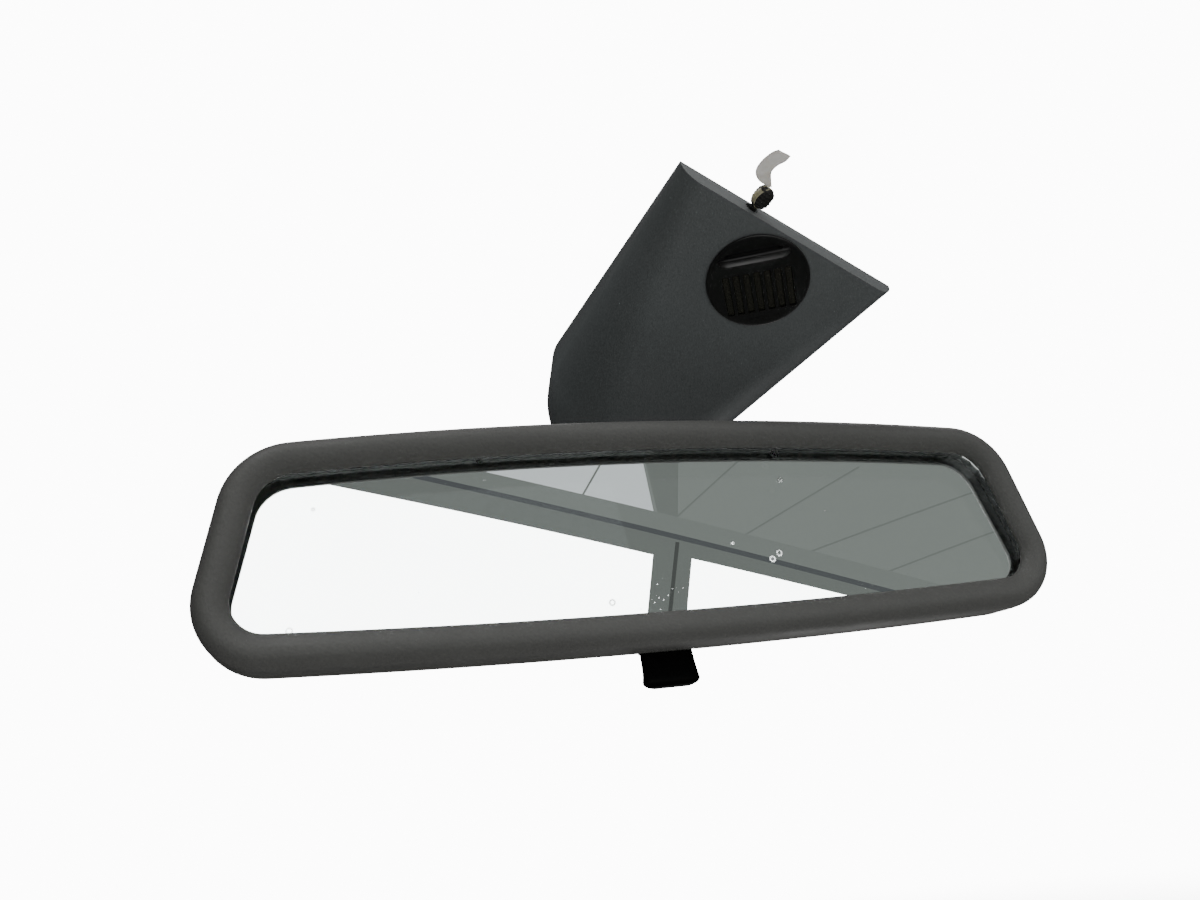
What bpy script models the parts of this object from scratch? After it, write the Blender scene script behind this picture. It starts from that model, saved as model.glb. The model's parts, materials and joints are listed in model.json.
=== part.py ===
"""Interior rearview mirror: day/night head on a ball joint, cranked arm, wedge-shaped windscreen foot
with an aspirated cabin temperature sensor. Metres, +Z up. The origin is the middle of the pad face that
sits on the windscreen; +X runs along the mirror, and the glass faces -Y."""

import math

import bmesh
import bpy
from mathutils import Euler, Matrix, Vector

MM = 0.001
GAP = 0.3 * MM

# Head outline: the bezel's inner lip, a trapezoid with bowed long edges and round corners
LIP_HALF_TOP = 104.9 * MM
LIP_HALF_BOTTOM = 114.0 * MM
LIP_HEIGHT = 38.7 * MM
LIP_RISE_TOP = 4.57 * MM
LIP_DROP_BOTTOM = 2.53 * MM
LIP_RADIUS_TOP = 10.5 * MM
LIP_RADIUS_BOTTOM = 8.3 * MM

# Head section
BEZEL_REACH = 8.8 * MM
BEZEL_CREST = 3.3 * MM
SEAM_Y = 10.0 * MM
SHELL_WALL = 2.0 * MM
GLASS_OVERLAP = 2.8 * MM
GLASS_FRONT_Y = 0.9 * MM
GLASS_MIDDLE_Y = 4.9 * MM
PRISM_ANGLE = math.radians(3.6)

# Ball joint
BALL_CENTRE = Vector((0.0, 20.0, 2.0)) * MM
BALL_RADIUS = 6.5 * MM
LINER_RADII = (6.8 * MM, 7.6 * MM)
CUP_RADII = (7.9 * MM, 8.7 * MM)
SOCKET_RADII = (9.0 * MM, 10.6 * MM)
SOCKET_MOUTH = math.radians(61.0)
ARM_RADIUS = 3.5 * MM

# Day/night mechanism
TILT_PIN = Vector((0.0, 17.0, 20.5)) * MM
LEVER_PIN = Vector((0.0, 18.0, -20.5)) * MM
PIN_RADIUS = 1.4 * MM
CARRIER_Y = (9.4 * MM, 10.8 * MM)
CARRIER_SCREW_X = 23.0 * MM
CARRIER_SCREW_Z = 16.0 * MM
LEVER_HALF_WIDTH = 7.6 * MM

# Foot: a wedge between its front face and the windscreen
FOOT_ANGLES = (67.26, 22.77, 12.27)
FOOT_HALF_WIDTH = 38.0 * MM
FOOT_TAPER = math.radians(5.25)
FOOT_END_DEPTH = 8.0 * MM
FOOT_WEDGE = math.radians(19.8)
FOOT_ROUNDING_TOP = 7.0 * MM
FOOT_ROUNDING_NOSE = 21.0 * MM
FOOT_NOSE_CENTRE = -88.5 * MM
FOOT_WALL = 2.2 * MM
RIM_CLEARANCE = 0.4 * MM
FOOT_TO_HEAD = Vector((40.55, -27.38, 77.10)) * MM
PAD_DISTANCE = 66.0 * MM
PAD_SIZE = (34.0 * MM, 48.0 * MM)
PAD_THICKNESS = 1.0 * MM
BASE_THICKNESS = 4.0 * MM

# Vent cap and sensor, on an axis through the front face
CAP_CENTRE_V = -16.3 * MM
CAP_TURN = math.radians(40.0)
CAP_RADIUS = 15.3 * MM
CAP_HOLE_RADIUS = 13.2 * MM
SLOT_COUNT = 7
SLOT_PITCH = 3.08 * MM
SLOT_SIZE = (2.0 * MM, 13.4 * MM)
SLOT_CENTRE_Y = -3.2 * MM
GRIP_Y = 8.9 * MM
FAN_BLADES = 7
HARNESS_RADIUS = 1.2 * MM
KNOT_CENTRE = Vector((-13.6, 3.2, 4.6)) * MM
KNOT_RADIUS = 2.9 * MM
KNOT_HALF = 3.2 * MM
FLAG_LEAN = math.radians(14.0)
FLAG_TILT = math.radians(14.0)

TURN_TO = {
    "X": Matrix(((0, 0, 1), (1, 0, 0), (0, 1, 0))).to_4x4(),
    "Y": Matrix(((1, 0, 0), (0, 0, -1), (0, 1, 0))).to_4x4(),
    "Z": Matrix.Identity(4),
}
ALONG = {"X": Vector((1, 0, 0)), "Y": Vector((0, 1, 0)), "Z": Vector((0, 0, 1))}


# ---------------------------------------------------------------- scene and placing

def clear_scene():
    for old in list(bpy.data.objects):
        bpy.data.objects.remove(old, do_unlink=True)


def new_collection(name):
    made = bpy.data.collections.new(name)
    bpy.context.scene.collection.children.link(made)
    return made


clear_scene()
PARTS = new_collection("interior_rearview_mirror")
CUTTERS = new_collection("cutters")


def empty(name, parent=None, location=(0, 0, 0), rotation=(0, 0, 0)):
    """An empty that carries pieces; pieces name their places in its parent's axes."""
    made = bpy.data.objects.new(name, None)
    made.empty_display_size = 5 * MM
    made.location = location
    made.rotation_euler = rotation
    made.parent = parent
    PARTS.objects.link(made)
    return made


def material(name, colour, roughness, metallic=0.0):
    made = bpy.data.materials.new(name)
    made.use_nodes = True
    shader = made.node_tree.nodes["Principled BSDF"]
    shader.inputs["Base Color"].default_value = (*colour, 1.0)
    shader.inputs["Roughness"].default_value = roughness
    shader.inputs["Metallic"].default_value = metallic
    made.diffuse_color = (*colour, 1.0)
    return made


def attach(piece, name, carrier, finish, pivot=Vector((0, 0, 0))):
    """Names the piece and hangs it on an empty. Its mesh is in the axes of the empty's parent, or of the
    empty itself where the pivot is zero."""
    piece.name = name
    piece.data.name = name
    piece.data.materials.clear()
    piece.data.materials.append(finish)
    piece.parent = carrier
    piece.location = -pivot
    piece.data.shade_smooth()
    piece.data.set_sharp_from_angle(angle=math.radians(35))
    return piece


# ---------------------------------------------------------------- shape helpers

def mesh_object(name, mesh, collection=None):
    made = bpy.data.objects.new(name, mesh)
    (collection or PARTS).objects.link(made)
    return made


def tidy_mesh(mesh):
    """Welds loose caps and turns every face outward."""
    work = bmesh.new()
    work.from_mesh(mesh)
    bmesh.ops.remove_doubles(work, verts=work.verts, dist=0.001 * MM)
    bmesh.ops.dissolve_degenerate(work, edges=work.edges, dist=0.001 * MM)
    bmesh.ops.recalc_face_normals(work, faces=work.faces)
    work.to_mesh(mesh)
    work.free()
    return mesh


def evaluated(source, name):
    """Replaces an object by a plain mesh object with its modifiers or curve settings carried out."""
    bpy.context.view_layer.update()
    graph = bpy.context.evaluated_depsgraph_get()
    mesh = bpy.data.meshes.new_from_object(source.evaluated_get(graph))
    matrix = source.matrix_world.copy()
    bpy.data.objects.remove(source, do_unlink=True)
    made = mesh_object(name, tidy_mesh(mesh))
    made.matrix_world = matrix
    return made


def plate(outline, axis, low, high):
    """A flat outline, filled and extruded from low to high along an axis. The outline's pairs are
    (y, z) for X, (x, z) for Y and (x, y) for Z."""
    curve = bpy.data.curves.new("outline", "CURVE")
    curve.dimensions = "2D"
    curve.fill_mode = "BOTH"
    curve.extrude = (high - low) / 2
    spline = curve.splines.new("POLY")
    spline.points.add(len(outline) - 1)
    for point, (a, b) in zip(spline.points, outline):
        point.co = (a, b, 0, 1)
    spline.use_cyclic_u = True
    made = evaluated(mesh_object("outline", curve), "plate")
    made.data.transform(Matrix.Translation(ALONG[axis] * (low + high) / 2) @ TURN_TO[axis])
    return made


def box(low, high):
    """A block between two corners."""
    work = bmesh.new()
    bmesh.ops.create_cube(work, size=1.0)
    low = Vector(low)
    high = Vector(high)
    bmesh.ops.scale(work, vec=high - low, verts=work.verts)
    bmesh.ops.translate(work, vec=(low + high) / 2, verts=work.verts)
    mesh = bpy.data.meshes.new("box")
    work.to_mesh(mesh)
    work.free()
    return mesh_object("box", mesh)


def cylinder(radius, low, high, axis, place=(0, 0, 0), segments=24):
    """A round bar from low to high along an axis through a place."""
    work = bmesh.new()
    bmesh.ops.create_cone(
        work, cap_ends=True, segments=segments, radius1=radius, radius2=radius, depth=high - low)
    move = Matrix.Translation(Vector(place) + ALONG[axis] * (low + high) / 2)
    bmesh.ops.transform(work, matrix=move @ TURN_TO[axis], verts=work.verts)
    mesh = bpy.data.meshes.new("cylinder")
    work.to_mesh(mesh)
    work.free()
    return mesh_object("cylinder", mesh)


def turned(profile, axis="Z", place=(0, 0, 0), steps=32):
    """A profile of (radius, height) pairs, outer side running down, turned about an axis."""
    mesh = bpy.data.meshes.new("profile")
    points = [(radius, 0, height) for radius, height in profile]
    closed = profile[0][0] > 0 and profile[-1][0] > 0
    edges = [(i, i + 1) for i in range(len(points) - 1)]
    if closed:
        edges.append((len(points) - 1, 0))
    mesh.from_pydata(points, edges, [])
    source = mesh_object("profile", mesh)
    screw = source.modifiers.new("turn", "SCREW")
    screw.steps = steps
    screw.render_steps = steps
    screw.use_merge_vertices = True
    screw.merge_threshold = 0.001 * MM
    made = evaluated(source, "turned")
    made.data.transform(Matrix.Translation(Vector(place)) @ TURN_TO[axis])
    return made


def rod(points, radius, resolution=3):
    """A round rod along a list of points, with filled ends."""
    curve = bpy.data.curves.new("rod", "CURVE")
    curve.dimensions = "3D"
    curve.bevel_depth = radius
    curve.bevel_resolution = resolution
    curve.use_fill_caps = True
    spline = curve.splines.new("POLY")
    spline.points.add(len(points) - 1)
    for point, place in zip(spline.points, points):
        point.co = (*place, 1)
    return evaluated(mesh_object("rod", curve), "rod")


def boolean(piece, tool, operation):
    tool.name = "cutter"
    for collection in list(tool.users_collection):
        collection.objects.unlink(tool)
    CUTTERS.objects.link(tool)
    tool.hide_render = True
    tool.display_type = "WIRE"
    tool.parent = piece
    change = piece.modifiers.new(operation.lower(), "BOOLEAN")
    change.operation = operation
    change.object = tool
    change.solver = "EXACT"
    return piece


def cut(piece, *tools):
    for tool in tools:
        boolean(piece, tool, "DIFFERENCE")
    return piece


def join(piece, *tools):
    for tool in tools:
        boolean(piece, tool, "UNION")
    return piece


def repeat(piece, stem, places, carrier, finish, pivot=Vector((0, 0, 0))):
    """One object at each place, numbered from 1, all sharing the piece's mesh."""
    for number, place in enumerate(places, 1):
        copy = mesh_object(stem, piece.data)
        attach(copy, f"{stem}_{number}", carrier, finish, pivot)
        copy.location += place
    bpy.data.objects.remove(piece, do_unlink=True)


def smooth_path(points, count):
    """Points along a smooth curve through the given ones (Catmull-Rom)."""
    knots = [Vector(p) for p in points]
    knots = [2 * knots[0] - knots[1], *knots, 2 * knots[-1] - knots[-2]]
    spans = len(points) - 1
    path = []
    for i in range(count + 1):
        place = spans * i / count
        span = min(int(place), spans - 1)
        t = place - span
        a, b, c, d = knots[span:span + 4]
        path.append(0.5 * (2 * b + (c - a) * t + (2 * a - 5 * b + 4 * c - d) * t ** 2
                           + (3 * b - a - 3 * c + d) * t ** 3))
    return path


def skin(rings, closed_rings, lids):
    """Quads between successive rings of equal length, with the listed rings filled as flat lids."""
    work = bmesh.new()
    rows = [[work.verts.new(point) for point in ring] for ring in rings]
    length = len(rows[0])
    steps = length if closed_rings else length - 1
    for one, two in zip(rows, rows[1:]):
        for i in range(steps):
            j = (i + 1) % length
            work.faces.new((one[i], one[j], two[j], two[i]))
    for lid in lids:
        work.faces.new(rows[lid])
    mesh = bpy.data.meshes.new("skin")
    bmesh.ops.recalc_face_normals(work, faces=work.faces)
    work.to_mesh(mesh)
    work.free()
    return mesh_object("skin", mesh)


# ---------------------------------------------------------------- head outline

def fillet(corner, before, after, radius, steps):
    """Points of the arc that rounds a corner between two directions."""
    a = (before - corner).normalized()
    b = (after - corner).normalized()
    half = a.angle(b) / 2
    centre = corner + (a + b).normalized() * radius / math.sin(half)
    start = corner + a * radius / math.tan(half) - centre
    sweep = start.angle_signed(corner + b * radius / math.tan(half) - centre)
    return [centre + Matrix.Rotation(-sweep * i / steps, 2) @ start for i in range(steps + 1)]


def bowed(half_width, height, rise):
    """Height of a bowed edge at a distance from the middle."""
    radius = (half_width ** 2 + rise ** 2) / (2 * rise)
    return lambda x: height + rise - radius + math.sqrt(radius ** 2 - x ** 2)


def lip_outline(arc_steps=8, corner_steps=5):
    """The inner lip as (x, z) points, clockwise from the middle of the top edge."""
    top = bowed(LIP_HALF_TOP, LIP_HEIGHT / 2, LIP_RISE_TOP)
    low = bowed(LIP_HALF_BOTTOM, LIP_HEIGHT / 2, LIP_DROP_BOTTOM)
    corner_top = Vector((LIP_HALF_TOP, LIP_HEIGHT / 2))
    corner_low = Vector((LIP_HALF_BOTTOM, -LIP_HEIGHT / 2))
    near_top = Vector((0.9 * LIP_HALF_TOP, top(0.9 * LIP_HALF_TOP)))
    near_low = Vector((0.9 * LIP_HALF_BOTTOM, -low(0.9 * LIP_HALF_BOTTOM)))
    upper = fillet(corner_top, near_top, corner_low, LIP_RADIUS_TOP, corner_steps)
    lower = fillet(corner_low, corner_top, near_low, LIP_RADIUS_BOTTOM, corner_steps)
    along_top = [upper[0].x * i / arc_steps for i in range(arc_steps)]
    along_low = [lower[-1].x * (arc_steps - i) / arc_steps for i in range(1, arc_steps + 1)]
    right = [Vector((x, top(x))) for x in along_top] + upper + lower
    right += [Vector((x, -low(x))) for x in along_low]
    left = [Vector((-p.x, p.y)) for p in reversed(right[1:-1])]
    return right + left


LIP = lip_outline()


def outward(points):
    """Unit normals of a clockwise outline."""
    found = []
    for i, point in enumerate(points):
        along = points[(i + 1) % len(points)] - points[i - 1]
        found.append(Vector((-along.y, along.x)).normalized())
    return found


LIP_OUTWARD = outward(LIP)


def head_ring(reach, y, shrink=0.0):
    """The lip outline moved outward by reach, then drawn in towards the middle by shrink, at depth y."""
    moved = [p + n * reach for p, n in zip(LIP, LIP_OUTWARD)]
    half_x = max(p.x for p in moved)
    half_z = max(p.y for p in moved)
    return [(p.x * (1 - shrink / half_x), y, p.y * (1 - shrink / half_z)) for p in moved]


def glass_back(z):
    """Depth of the prism's rear face at a height."""
    return GLASS_MIDDLE_Y + math.tan(PRISM_ANGLE) * z


# ---------------------------------------------------------------- materials

GREY_SHELL = material("grey_shell", (0.135, 0.135, 0.130), 0.62)
GREY_FOOT = material("grey_foot", (0.150, 0.160, 0.172), 0.60)
BLACK = material("black_plastic", (0.012, 0.012, 0.011), 0.35)
PRISM = material("prism_glass", (0.90, 0.94, 0.93), 0.02)
SILVER = material("silvering", (0.92, 0.93, 0.93), 0.03, 1.0)
FOAM = material("foam", (0.05, 0.048, 0.04), 0.95)
ACETAL = material("acetal", (0.80, 0.79, 0.74), 0.45)
STEEL = material("steel", (0.55, 0.56, 0.57), 0.32, 1.0)
ZINC = material("zinc_casting", (0.36, 0.37, 0.38), 0.5, 1.0)
BOARD = material("board", (0.03, 0.16, 0.07), 0.5)
TAPE = material("tape", (0.02, 0.02, 0.02), 0.5)
PAPER = material("label_paper", (0.86, 0.85, 0.80), 0.8)
STRAP = material("strap", (0.62, 0.60, 0.45), 0.35)


# ---------------------------------------------------------------- carriers

PAD = empty("windscreen_axes", rotation=[math.radians(a) for a in FOOT_ANGLES])
PAD.rotation_euler = (Euler(PAD.rotation_euler).to_matrix()
                      @ Matrix.Rotation(FOOT_WEDGE, 3, "X")).to_euler()
PAD_PLACE = Vector((0, FOOT_END_DEPTH + PAD_DISTANCE * math.tan(FOOT_WEDGE), -PAD_DISTANCE))
FOOT_TURN = Euler([math.radians(a) for a in FOOT_ANGLES]).to_matrix()
FOOT = empty("foot_axes", location=-(FOOT_TURN @ PAD_PLACE),
             rotation=[math.radians(a) for a in FOOT_ANGLES])
HEAD_PLACE = FOOT.location - FOOT_TO_HEAD
HEAD = empty("head_axes", location=HEAD_PLACE)
BALL_IN_FOOT = FOOT_TURN.inverted() @ (HEAD_PLACE + BALL_CENTRE - FOOT.location)
NECK_IN_FOOT = FOOT_TURN.inverted() @ Vector((0, 1, 0))
YAW = empty("ball_yaw_axis", HEAD, BALL_CENTRE)
ROLL = empty("ball_roll_axis", HEAD, BALL_CENTRE)
PITCH = empty("ball_pitch_axis", HEAD, BALL_CENTRE)
TILT = empty("head_tilt_axis", HEAD, TILT_PIN)
LEVER = empty("lever_axis", HEAD, LEVER_PIN)
CAP = empty("cap_axis", FOOT, (0, 0, CAP_CENTRE_V), (math.pi / 2, 0, 0))
CAP.rotation_euler = (Matrix.Rotation(math.pi / 2, 3, "X") @ Matrix.Rotation(CAP_TURN, 3, "Z")).to_euler()
FAN = empty("fan_axis", CAP)


# ---------------------------------------------------------------- head

def bezel():
    reach = BEZEL_REACH
    crest = -BEZEL_CREST
    section = [
        (0.0, 0.6 * MM), (0.0, 0.0), (0.4 * MM, -0.9 * MM), (1.6 * MM, 0.64 * crest),
        (3.2 * MM, 0.91 * crest), (4.8 * MM, crest), (6.3 * MM, 0.88 * crest),
        (7.6 * MM, 0.54 * crest), (8.5 * MM, 0.0), (reach, 2.3 * MM), (reach, 6.0 * MM),
        (reach - 0.1 * MM, SEAM_Y), (reach - 1.9 * MM, SEAM_Y), (reach - 2.0 * MM, 3.0 * MM),
        (6.2 * MM, 0.6 * MM)]
    rings = [head_ring(out, y) for out, y in section]
    piece = skin([*rings, rings[0]], True, [])
    tidy_mesh(piece.data)
    return attach(piece, "bezel", TILT, GREY_SHELL, TILT_PIN)


def housing_shell():
    """The open shell behind the bezel, drawn in towards a flat back."""
    reach = BEZEL_REACH - 0.1 * MM
    rings = [
        head_ring(reach, SEAM_Y + GAP), head_ring(reach - 0.1 * MM, 14.0 * MM),
        head_ring(reach - 0.5 * MM, 17.5 * MM), head_ring(reach - 0.5 * MM, 21.0 * MM, 2.0 * MM),
        head_ring(reach - 0.5 * MM, 24.0 * MM, 5.5 * MM),
        head_ring(reach - 0.5 * MM, 26.3 * MM, 10.5 * MM),
        head_ring(reach - 0.5 * MM, 27.6 * MM, 16.5 * MM)]
    piece = skin(rings, True, [len(rings) - 1])
    wall = piece.modifiers.new("wall", "SOLIDIFY")
    wall.thickness = SHELL_WALL
    wall.offset = -1
    wall.use_even_offset = True
    return evaluated(piece, "shell")


def rear_housing():
    piece = housing_shell()
    for side in (-1, 1):
        for height in (-1, 1):
            boss_at = (side * CARRIER_SCREW_X, 0, height * CARRIER_SCREW_Z)
            join(piece, cylinder(3.0 * MM, CARRIER_Y[1] + GAP, 26.2 * MM, "Y", boss_at, 16))
            cut(piece, cylinder(1.5 * MM, 5 * MM, 20 * MM, "Y", boss_at, 12))
        for rib_x in (52.0 * MM, 92.0 * MM):
            rib = [(12.2, -28.6), (17.0, -28.6), (24.0, -20.0), (24.6, 0.0), (24.0, 20.0), (17.0, 28.6),
                   (12.2, 28.6)]
            rib_low = side * rib_x - 0.8 * MM
            join(piece, plate([(y * MM, z * MM) for y, z in rib], "X", rib_low, rib_low + 1.6 * MM))
    cut(piece, cylinder(12.5 * MM, 20 * MM, 40 * MM, "Y", (0, 0, BALL_CENTRE.z), 40))
    cut(piece, box((-9.2 * MM, 13.2 * MM, -40 * MM), (9.2 * MM, 23.8 * MM, -25 * MM)))
    return attach(piece, "rear_housing", TILT, GREY_SHELL, TILT_PIN)


def layer(name, front, back, finish):
    """A sheet with the glass outline between two depths that may vary with height."""
    edge = head_ring(GLASS_OVERLAP, 0.0)
    near = [(x, front(z), z) for x, _, z in edge]
    far = [(x, back(z), z) for x, _, z in edge]
    piece = skin([near, far], True, [0, 1])
    return attach(piece, name, TILT, finish, TILT_PIN)


def mirror_glass():
    return layer("mirror_glass", lambda z: GLASS_FRONT_Y, glass_back, PRISM)


def silver_backing():
    return layer(
        "silver_backing", lambda z: glass_back(z) + 0.25 * MM, lambda z: glass_back(z) + 0.65 * MM, SILVER)


def glass_cushion(name, side):
    """A foam pad between the silvered face and two ribs of the housing."""
    middle = side * 72.0 * MM
    piece = box((middle - 26 * MM, 8 * MM, -14 * MM), (middle + 26 * MM, 11.9 * MM, 14 * MM))
    for vertex in piece.data.vertices:
        if vertex.co.y < 10 * MM:
            vertex.co.y = glass_back(vertex.co.z) + 0.95 * MM
    return attach(piece, name, TILT, FOAM, TILT_PIN)


def lug(centre, x_low, x_high, y_low):
    """A round-nosed ear that reaches from the carrier back to a pin."""
    z = centre.z
    nose = [(centre.y + 3.2 * MM * math.sin(a), z + 3.2 * MM * math.cos(a))
            for a in [math.pi * i / 8 for i in range(9)]]
    return plate([(y_low, z + 3.2 * MM), *nose, (y_low, z - 3.2 * MM)], "X", x_low, x_high)


def carrier_plate():
    low, high = CARRIER_Y
    piece = box((-27 * MM, low, -22.5 * MM), (27 * MM, high, 23.5 * MM))
    y_low = low + 0.4 * MM
    for side in (-1, 1):
        for pin, inner in ((TILT_PIN, 15.6 * MM), (LEVER_PIN, 10.6 * MM)):
            edges = sorted((side * inner, side * (inner + 2 * MM)))
            join(piece, lug(pin, edges[0], edges[1], y_low))
        for height in (-1, 1):
            hole_at = (side * CARRIER_SCREW_X, 0, height * CARRIER_SCREW_Z)
            cut(piece, cylinder(1.5 * MM, 5 * MM, 14 * MM, "Y", hole_at, 12))
    for pin in (TILT_PIN, LEVER_PIN):
        cut(piece, cylinder(PIN_RADIUS + GAP, -25 * MM, 25 * MM, "X", pin, 16))
    cut(piece, cylinder(8.5 * MM, 5 * MM, 14 * MM, "Y", (0, 0, BALL_CENTRE.z), 32))
    return attach(piece, "carrier_plate", TILT, STEEL, TILT_PIN)


def fastener(head_radius, head_height, shaft_radius, length):
    """A pan-headed screw standing on its tip along +Z, with its seat at zero."""
    return turned([
        (0, head_height), (0.7 * head_radius, head_height), (head_radius, 0.4 * head_height),
        (head_radius, 0), (shaft_radius, 0), (shaft_radius, 0.6 * MM - length), (0, -length)], steps=16)


def carrier_screws():
    piece = fastener(2.5 * MM, 1.3 * MM, 1.15 * MM, 8.0 * MM)
    piece.data.transform(TURN_TO["Y"])
    seat_y = CARRIER_Y[0] - GAP
    places = [Vector((x * CARRIER_SCREW_X, seat_y, z * CARRIER_SCREW_Z)) for x in (-1, 1) for z in (-1, 1)]
    repeat(piece, "carrier_screw", places, TILT, STEEL, TILT_PIN)


# ---------------------------------------------------------------- ball joint and day/night mechanism

def socket_shell(radii, steps=7, segments=26, place=BALL_CENTRE):
    """A deep spherical cup about the ball, open towards +Y, where the arm leaves."""
    inner, outer = radii

    def arc(radius, angles):
        return [(radius * math.sin(a), -radius * math.cos(a)) for a in angles]

    angles = [SOCKET_MOUTH + (math.pi - SOCKET_MOUTH) * i / steps for i in range(steps + 1)]
    outside = arc(outer, angles)
    inside = arc(inner, reversed(angles))
    profile = [(max(radius, 0.0), height) for radius, height in outside + inside]
    profile[steps] = (0.0, profile[steps][1])
    profile[steps + 1] = (0.0, profile[steps + 1][1])
    return sphere_turn(profile, segments, place)


def sphere_turn(profile, segments, place):
    """Turns an open cup profile whose two ends meet the axis."""
    half = len(profile) // 2
    path = list(reversed(profile[:half])) + list(reversed(profile[half:]))
    mesh = bpy.data.meshes.new("cup")
    mesh.from_pydata([(radius, 0, height) for radius, height in path],
                     [(i, i + 1) for i in range(len(path) - 1)], [])
    source = mesh_object("cup", mesh)
    screw = source.modifiers.new("turn", "SCREW")
    screw.steps = segments
    screw.render_steps = segments
    screw.use_merge_vertices = True
    screw.merge_threshold = 0.001 * MM
    made = evaluated(source, "cup")
    made.data.transform(Matrix.Translation(place) @ TURN_TO["Y"])
    return made


def ball_liner():
    return attach(socket_shell(LINER_RADII), "ball_liner", YAW, ACETAL, BALL_CENTRE)


def ball_cup():
    return attach(socket_shell(CUP_RADII), "ball_cup", ROLL, STEEL, BALL_CENTRE)


def toggle_bracket():
    piece = socket_shell(SOCKET_RADII)
    z_ball = BALL_CENTRE.z
    web = [(-13, -11), (-6, -13.5), (6, -13.5), (13, -11), (13, 14), (14.8, 17), (14.8, 18.6),
           (-14.8, 18.6), (-14.8, 17), (-13, 14)]
    plate_y = (17.0 * MM, 19.0 * MM)
    flange = plate([(x * MM, z * MM) for x, z in web], "Y", *plate_y)
    flange = evaluated(cut(flange, cylinder(9.8 * MM, 10 * MM, 25 * MM, "Y", (0, 0, z_ball), 32)), "flange")
    join(piece, flange)
    join(piece, cylinder(2.7 * MM, -14.8 * MM, 14.8 * MM, "X", TILT_PIN, 20))
    cut(piece, cylinder(PIN_RADIUS + GAP, -20 * MM, 20 * MM, "X", TILT_PIN, 16))
    return attach(piece, "toggle_bracket", PITCH, ZINC, BALL_CENTRE)


def pivot_pin():
    piece = cylinder(PIN_RADIUS, -19 * MM, 19 * MM, "X", TILT_PIN, 16)
    return attach(piece, "pivot_pin", PITCH, STEEL, BALL_CENTRE)


def lever_pin():
    piece = cylinder(PIN_RADIUS, -14 * MM, 14 * MM, "X", LEVER_PIN, 16)
    return attach(piece, "lever_pin", TILT, STEEL, TILT_PIN)


def toggle_spring():
    """A leaf under the socket plate whose bent foot rides on the lever's cam."""
    outline = [(19.3, -9.3), (19.9, -9.3), (19.9, -13.4), (18.6, -16.3), (17.4, -16.3), (16.2, -14.2),
               (16.7, -13.9), (17.7, -15.7), (18.3, -15.7), (19.3, -13.3)]
    piece = plate([(y * MM, z * MM) for y, z in outline], "X", -4 * MM, 4 * MM)
    return attach(piece, "toggle_spring", PITCH, STEEL, BALL_CENTRE)


def day_night_lever():
    """A cam on the lever pin, a neck through the housing's slot, and a flared finger tab."""
    y, z = LEVER_PIN.y, LEVER_PIN.z
    cam = [(y + 3.4 * MM * math.cos(a), z + 3.4 * MM * math.sin(a))
           for a in [math.radians(-40 + 260 * i / 10) for i in range(11)]]
    neck = [(14.2, -30.0), (16.9, -30.5)]
    piece = plate([*cam, *[(a * MM, b * MM) for a, b in neck]], "X", -LEVER_HALF_WIDTH, LEVER_HALF_WIDTH)
    side = [(17.3, -28.6), (17.2, -31.0), (16.3, -36.4), (16.6, -38.4), (15.6, -39.9), (13.6, -40.2),
            (12.0, -38.9), (12.3, -36.2), (13.6, -31.0), (13.9, -28.6)]
    tab = plate([(a * MM, b * MM) for a, b in side], "X", -LEVER_HALF_WIDTH - 0.4 * MM,
                LEVER_HALF_WIDTH + 0.4 * MM)
    join(piece, tab)
    cut(piece, cylinder(PIN_RADIUS + GAP, -20 * MM, 20 * MM, "X", LEVER_PIN, 16))
    return attach(piece, "day_night_lever", LEVER, BLACK, LEVER_PIN)


# ---------------------------------------------------------------- foot

def foot_outline(side_steps=6, nose_steps=10):
    """Half of the foot's plan from its top end round the nose, as (point, inset direction) pairs."""
    half_at_nose = FOOT_HALF_WIDTH + FOOT_NOSE_CENTRE * math.tan(FOOT_TAPER)
    radius = half_at_nose * math.cos(FOOT_TAPER)
    tangent = Vector((radius * math.cos(FOOT_TAPER), FOOT_NOSE_CENTRE - radius * math.sin(FOOT_TAPER)))
    top = Vector((FOOT_HALF_WIDTH, 0))
    half = [(top.lerp(tangent, i / side_steps), Vector((1, 0))) for i in range(side_steps)]
    for i in range(nose_steps + 1):
        angle = -FOOT_TAPER - (math.pi / 2 - FOOT_TAPER) * i / nose_steps
        outward_here = Vector((math.cos(angle), math.sin(angle)))
        half.append((Vector((0, FOOT_NOSE_CENTRE)) + outward_here * radius, outward_here))
    return half


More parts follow.
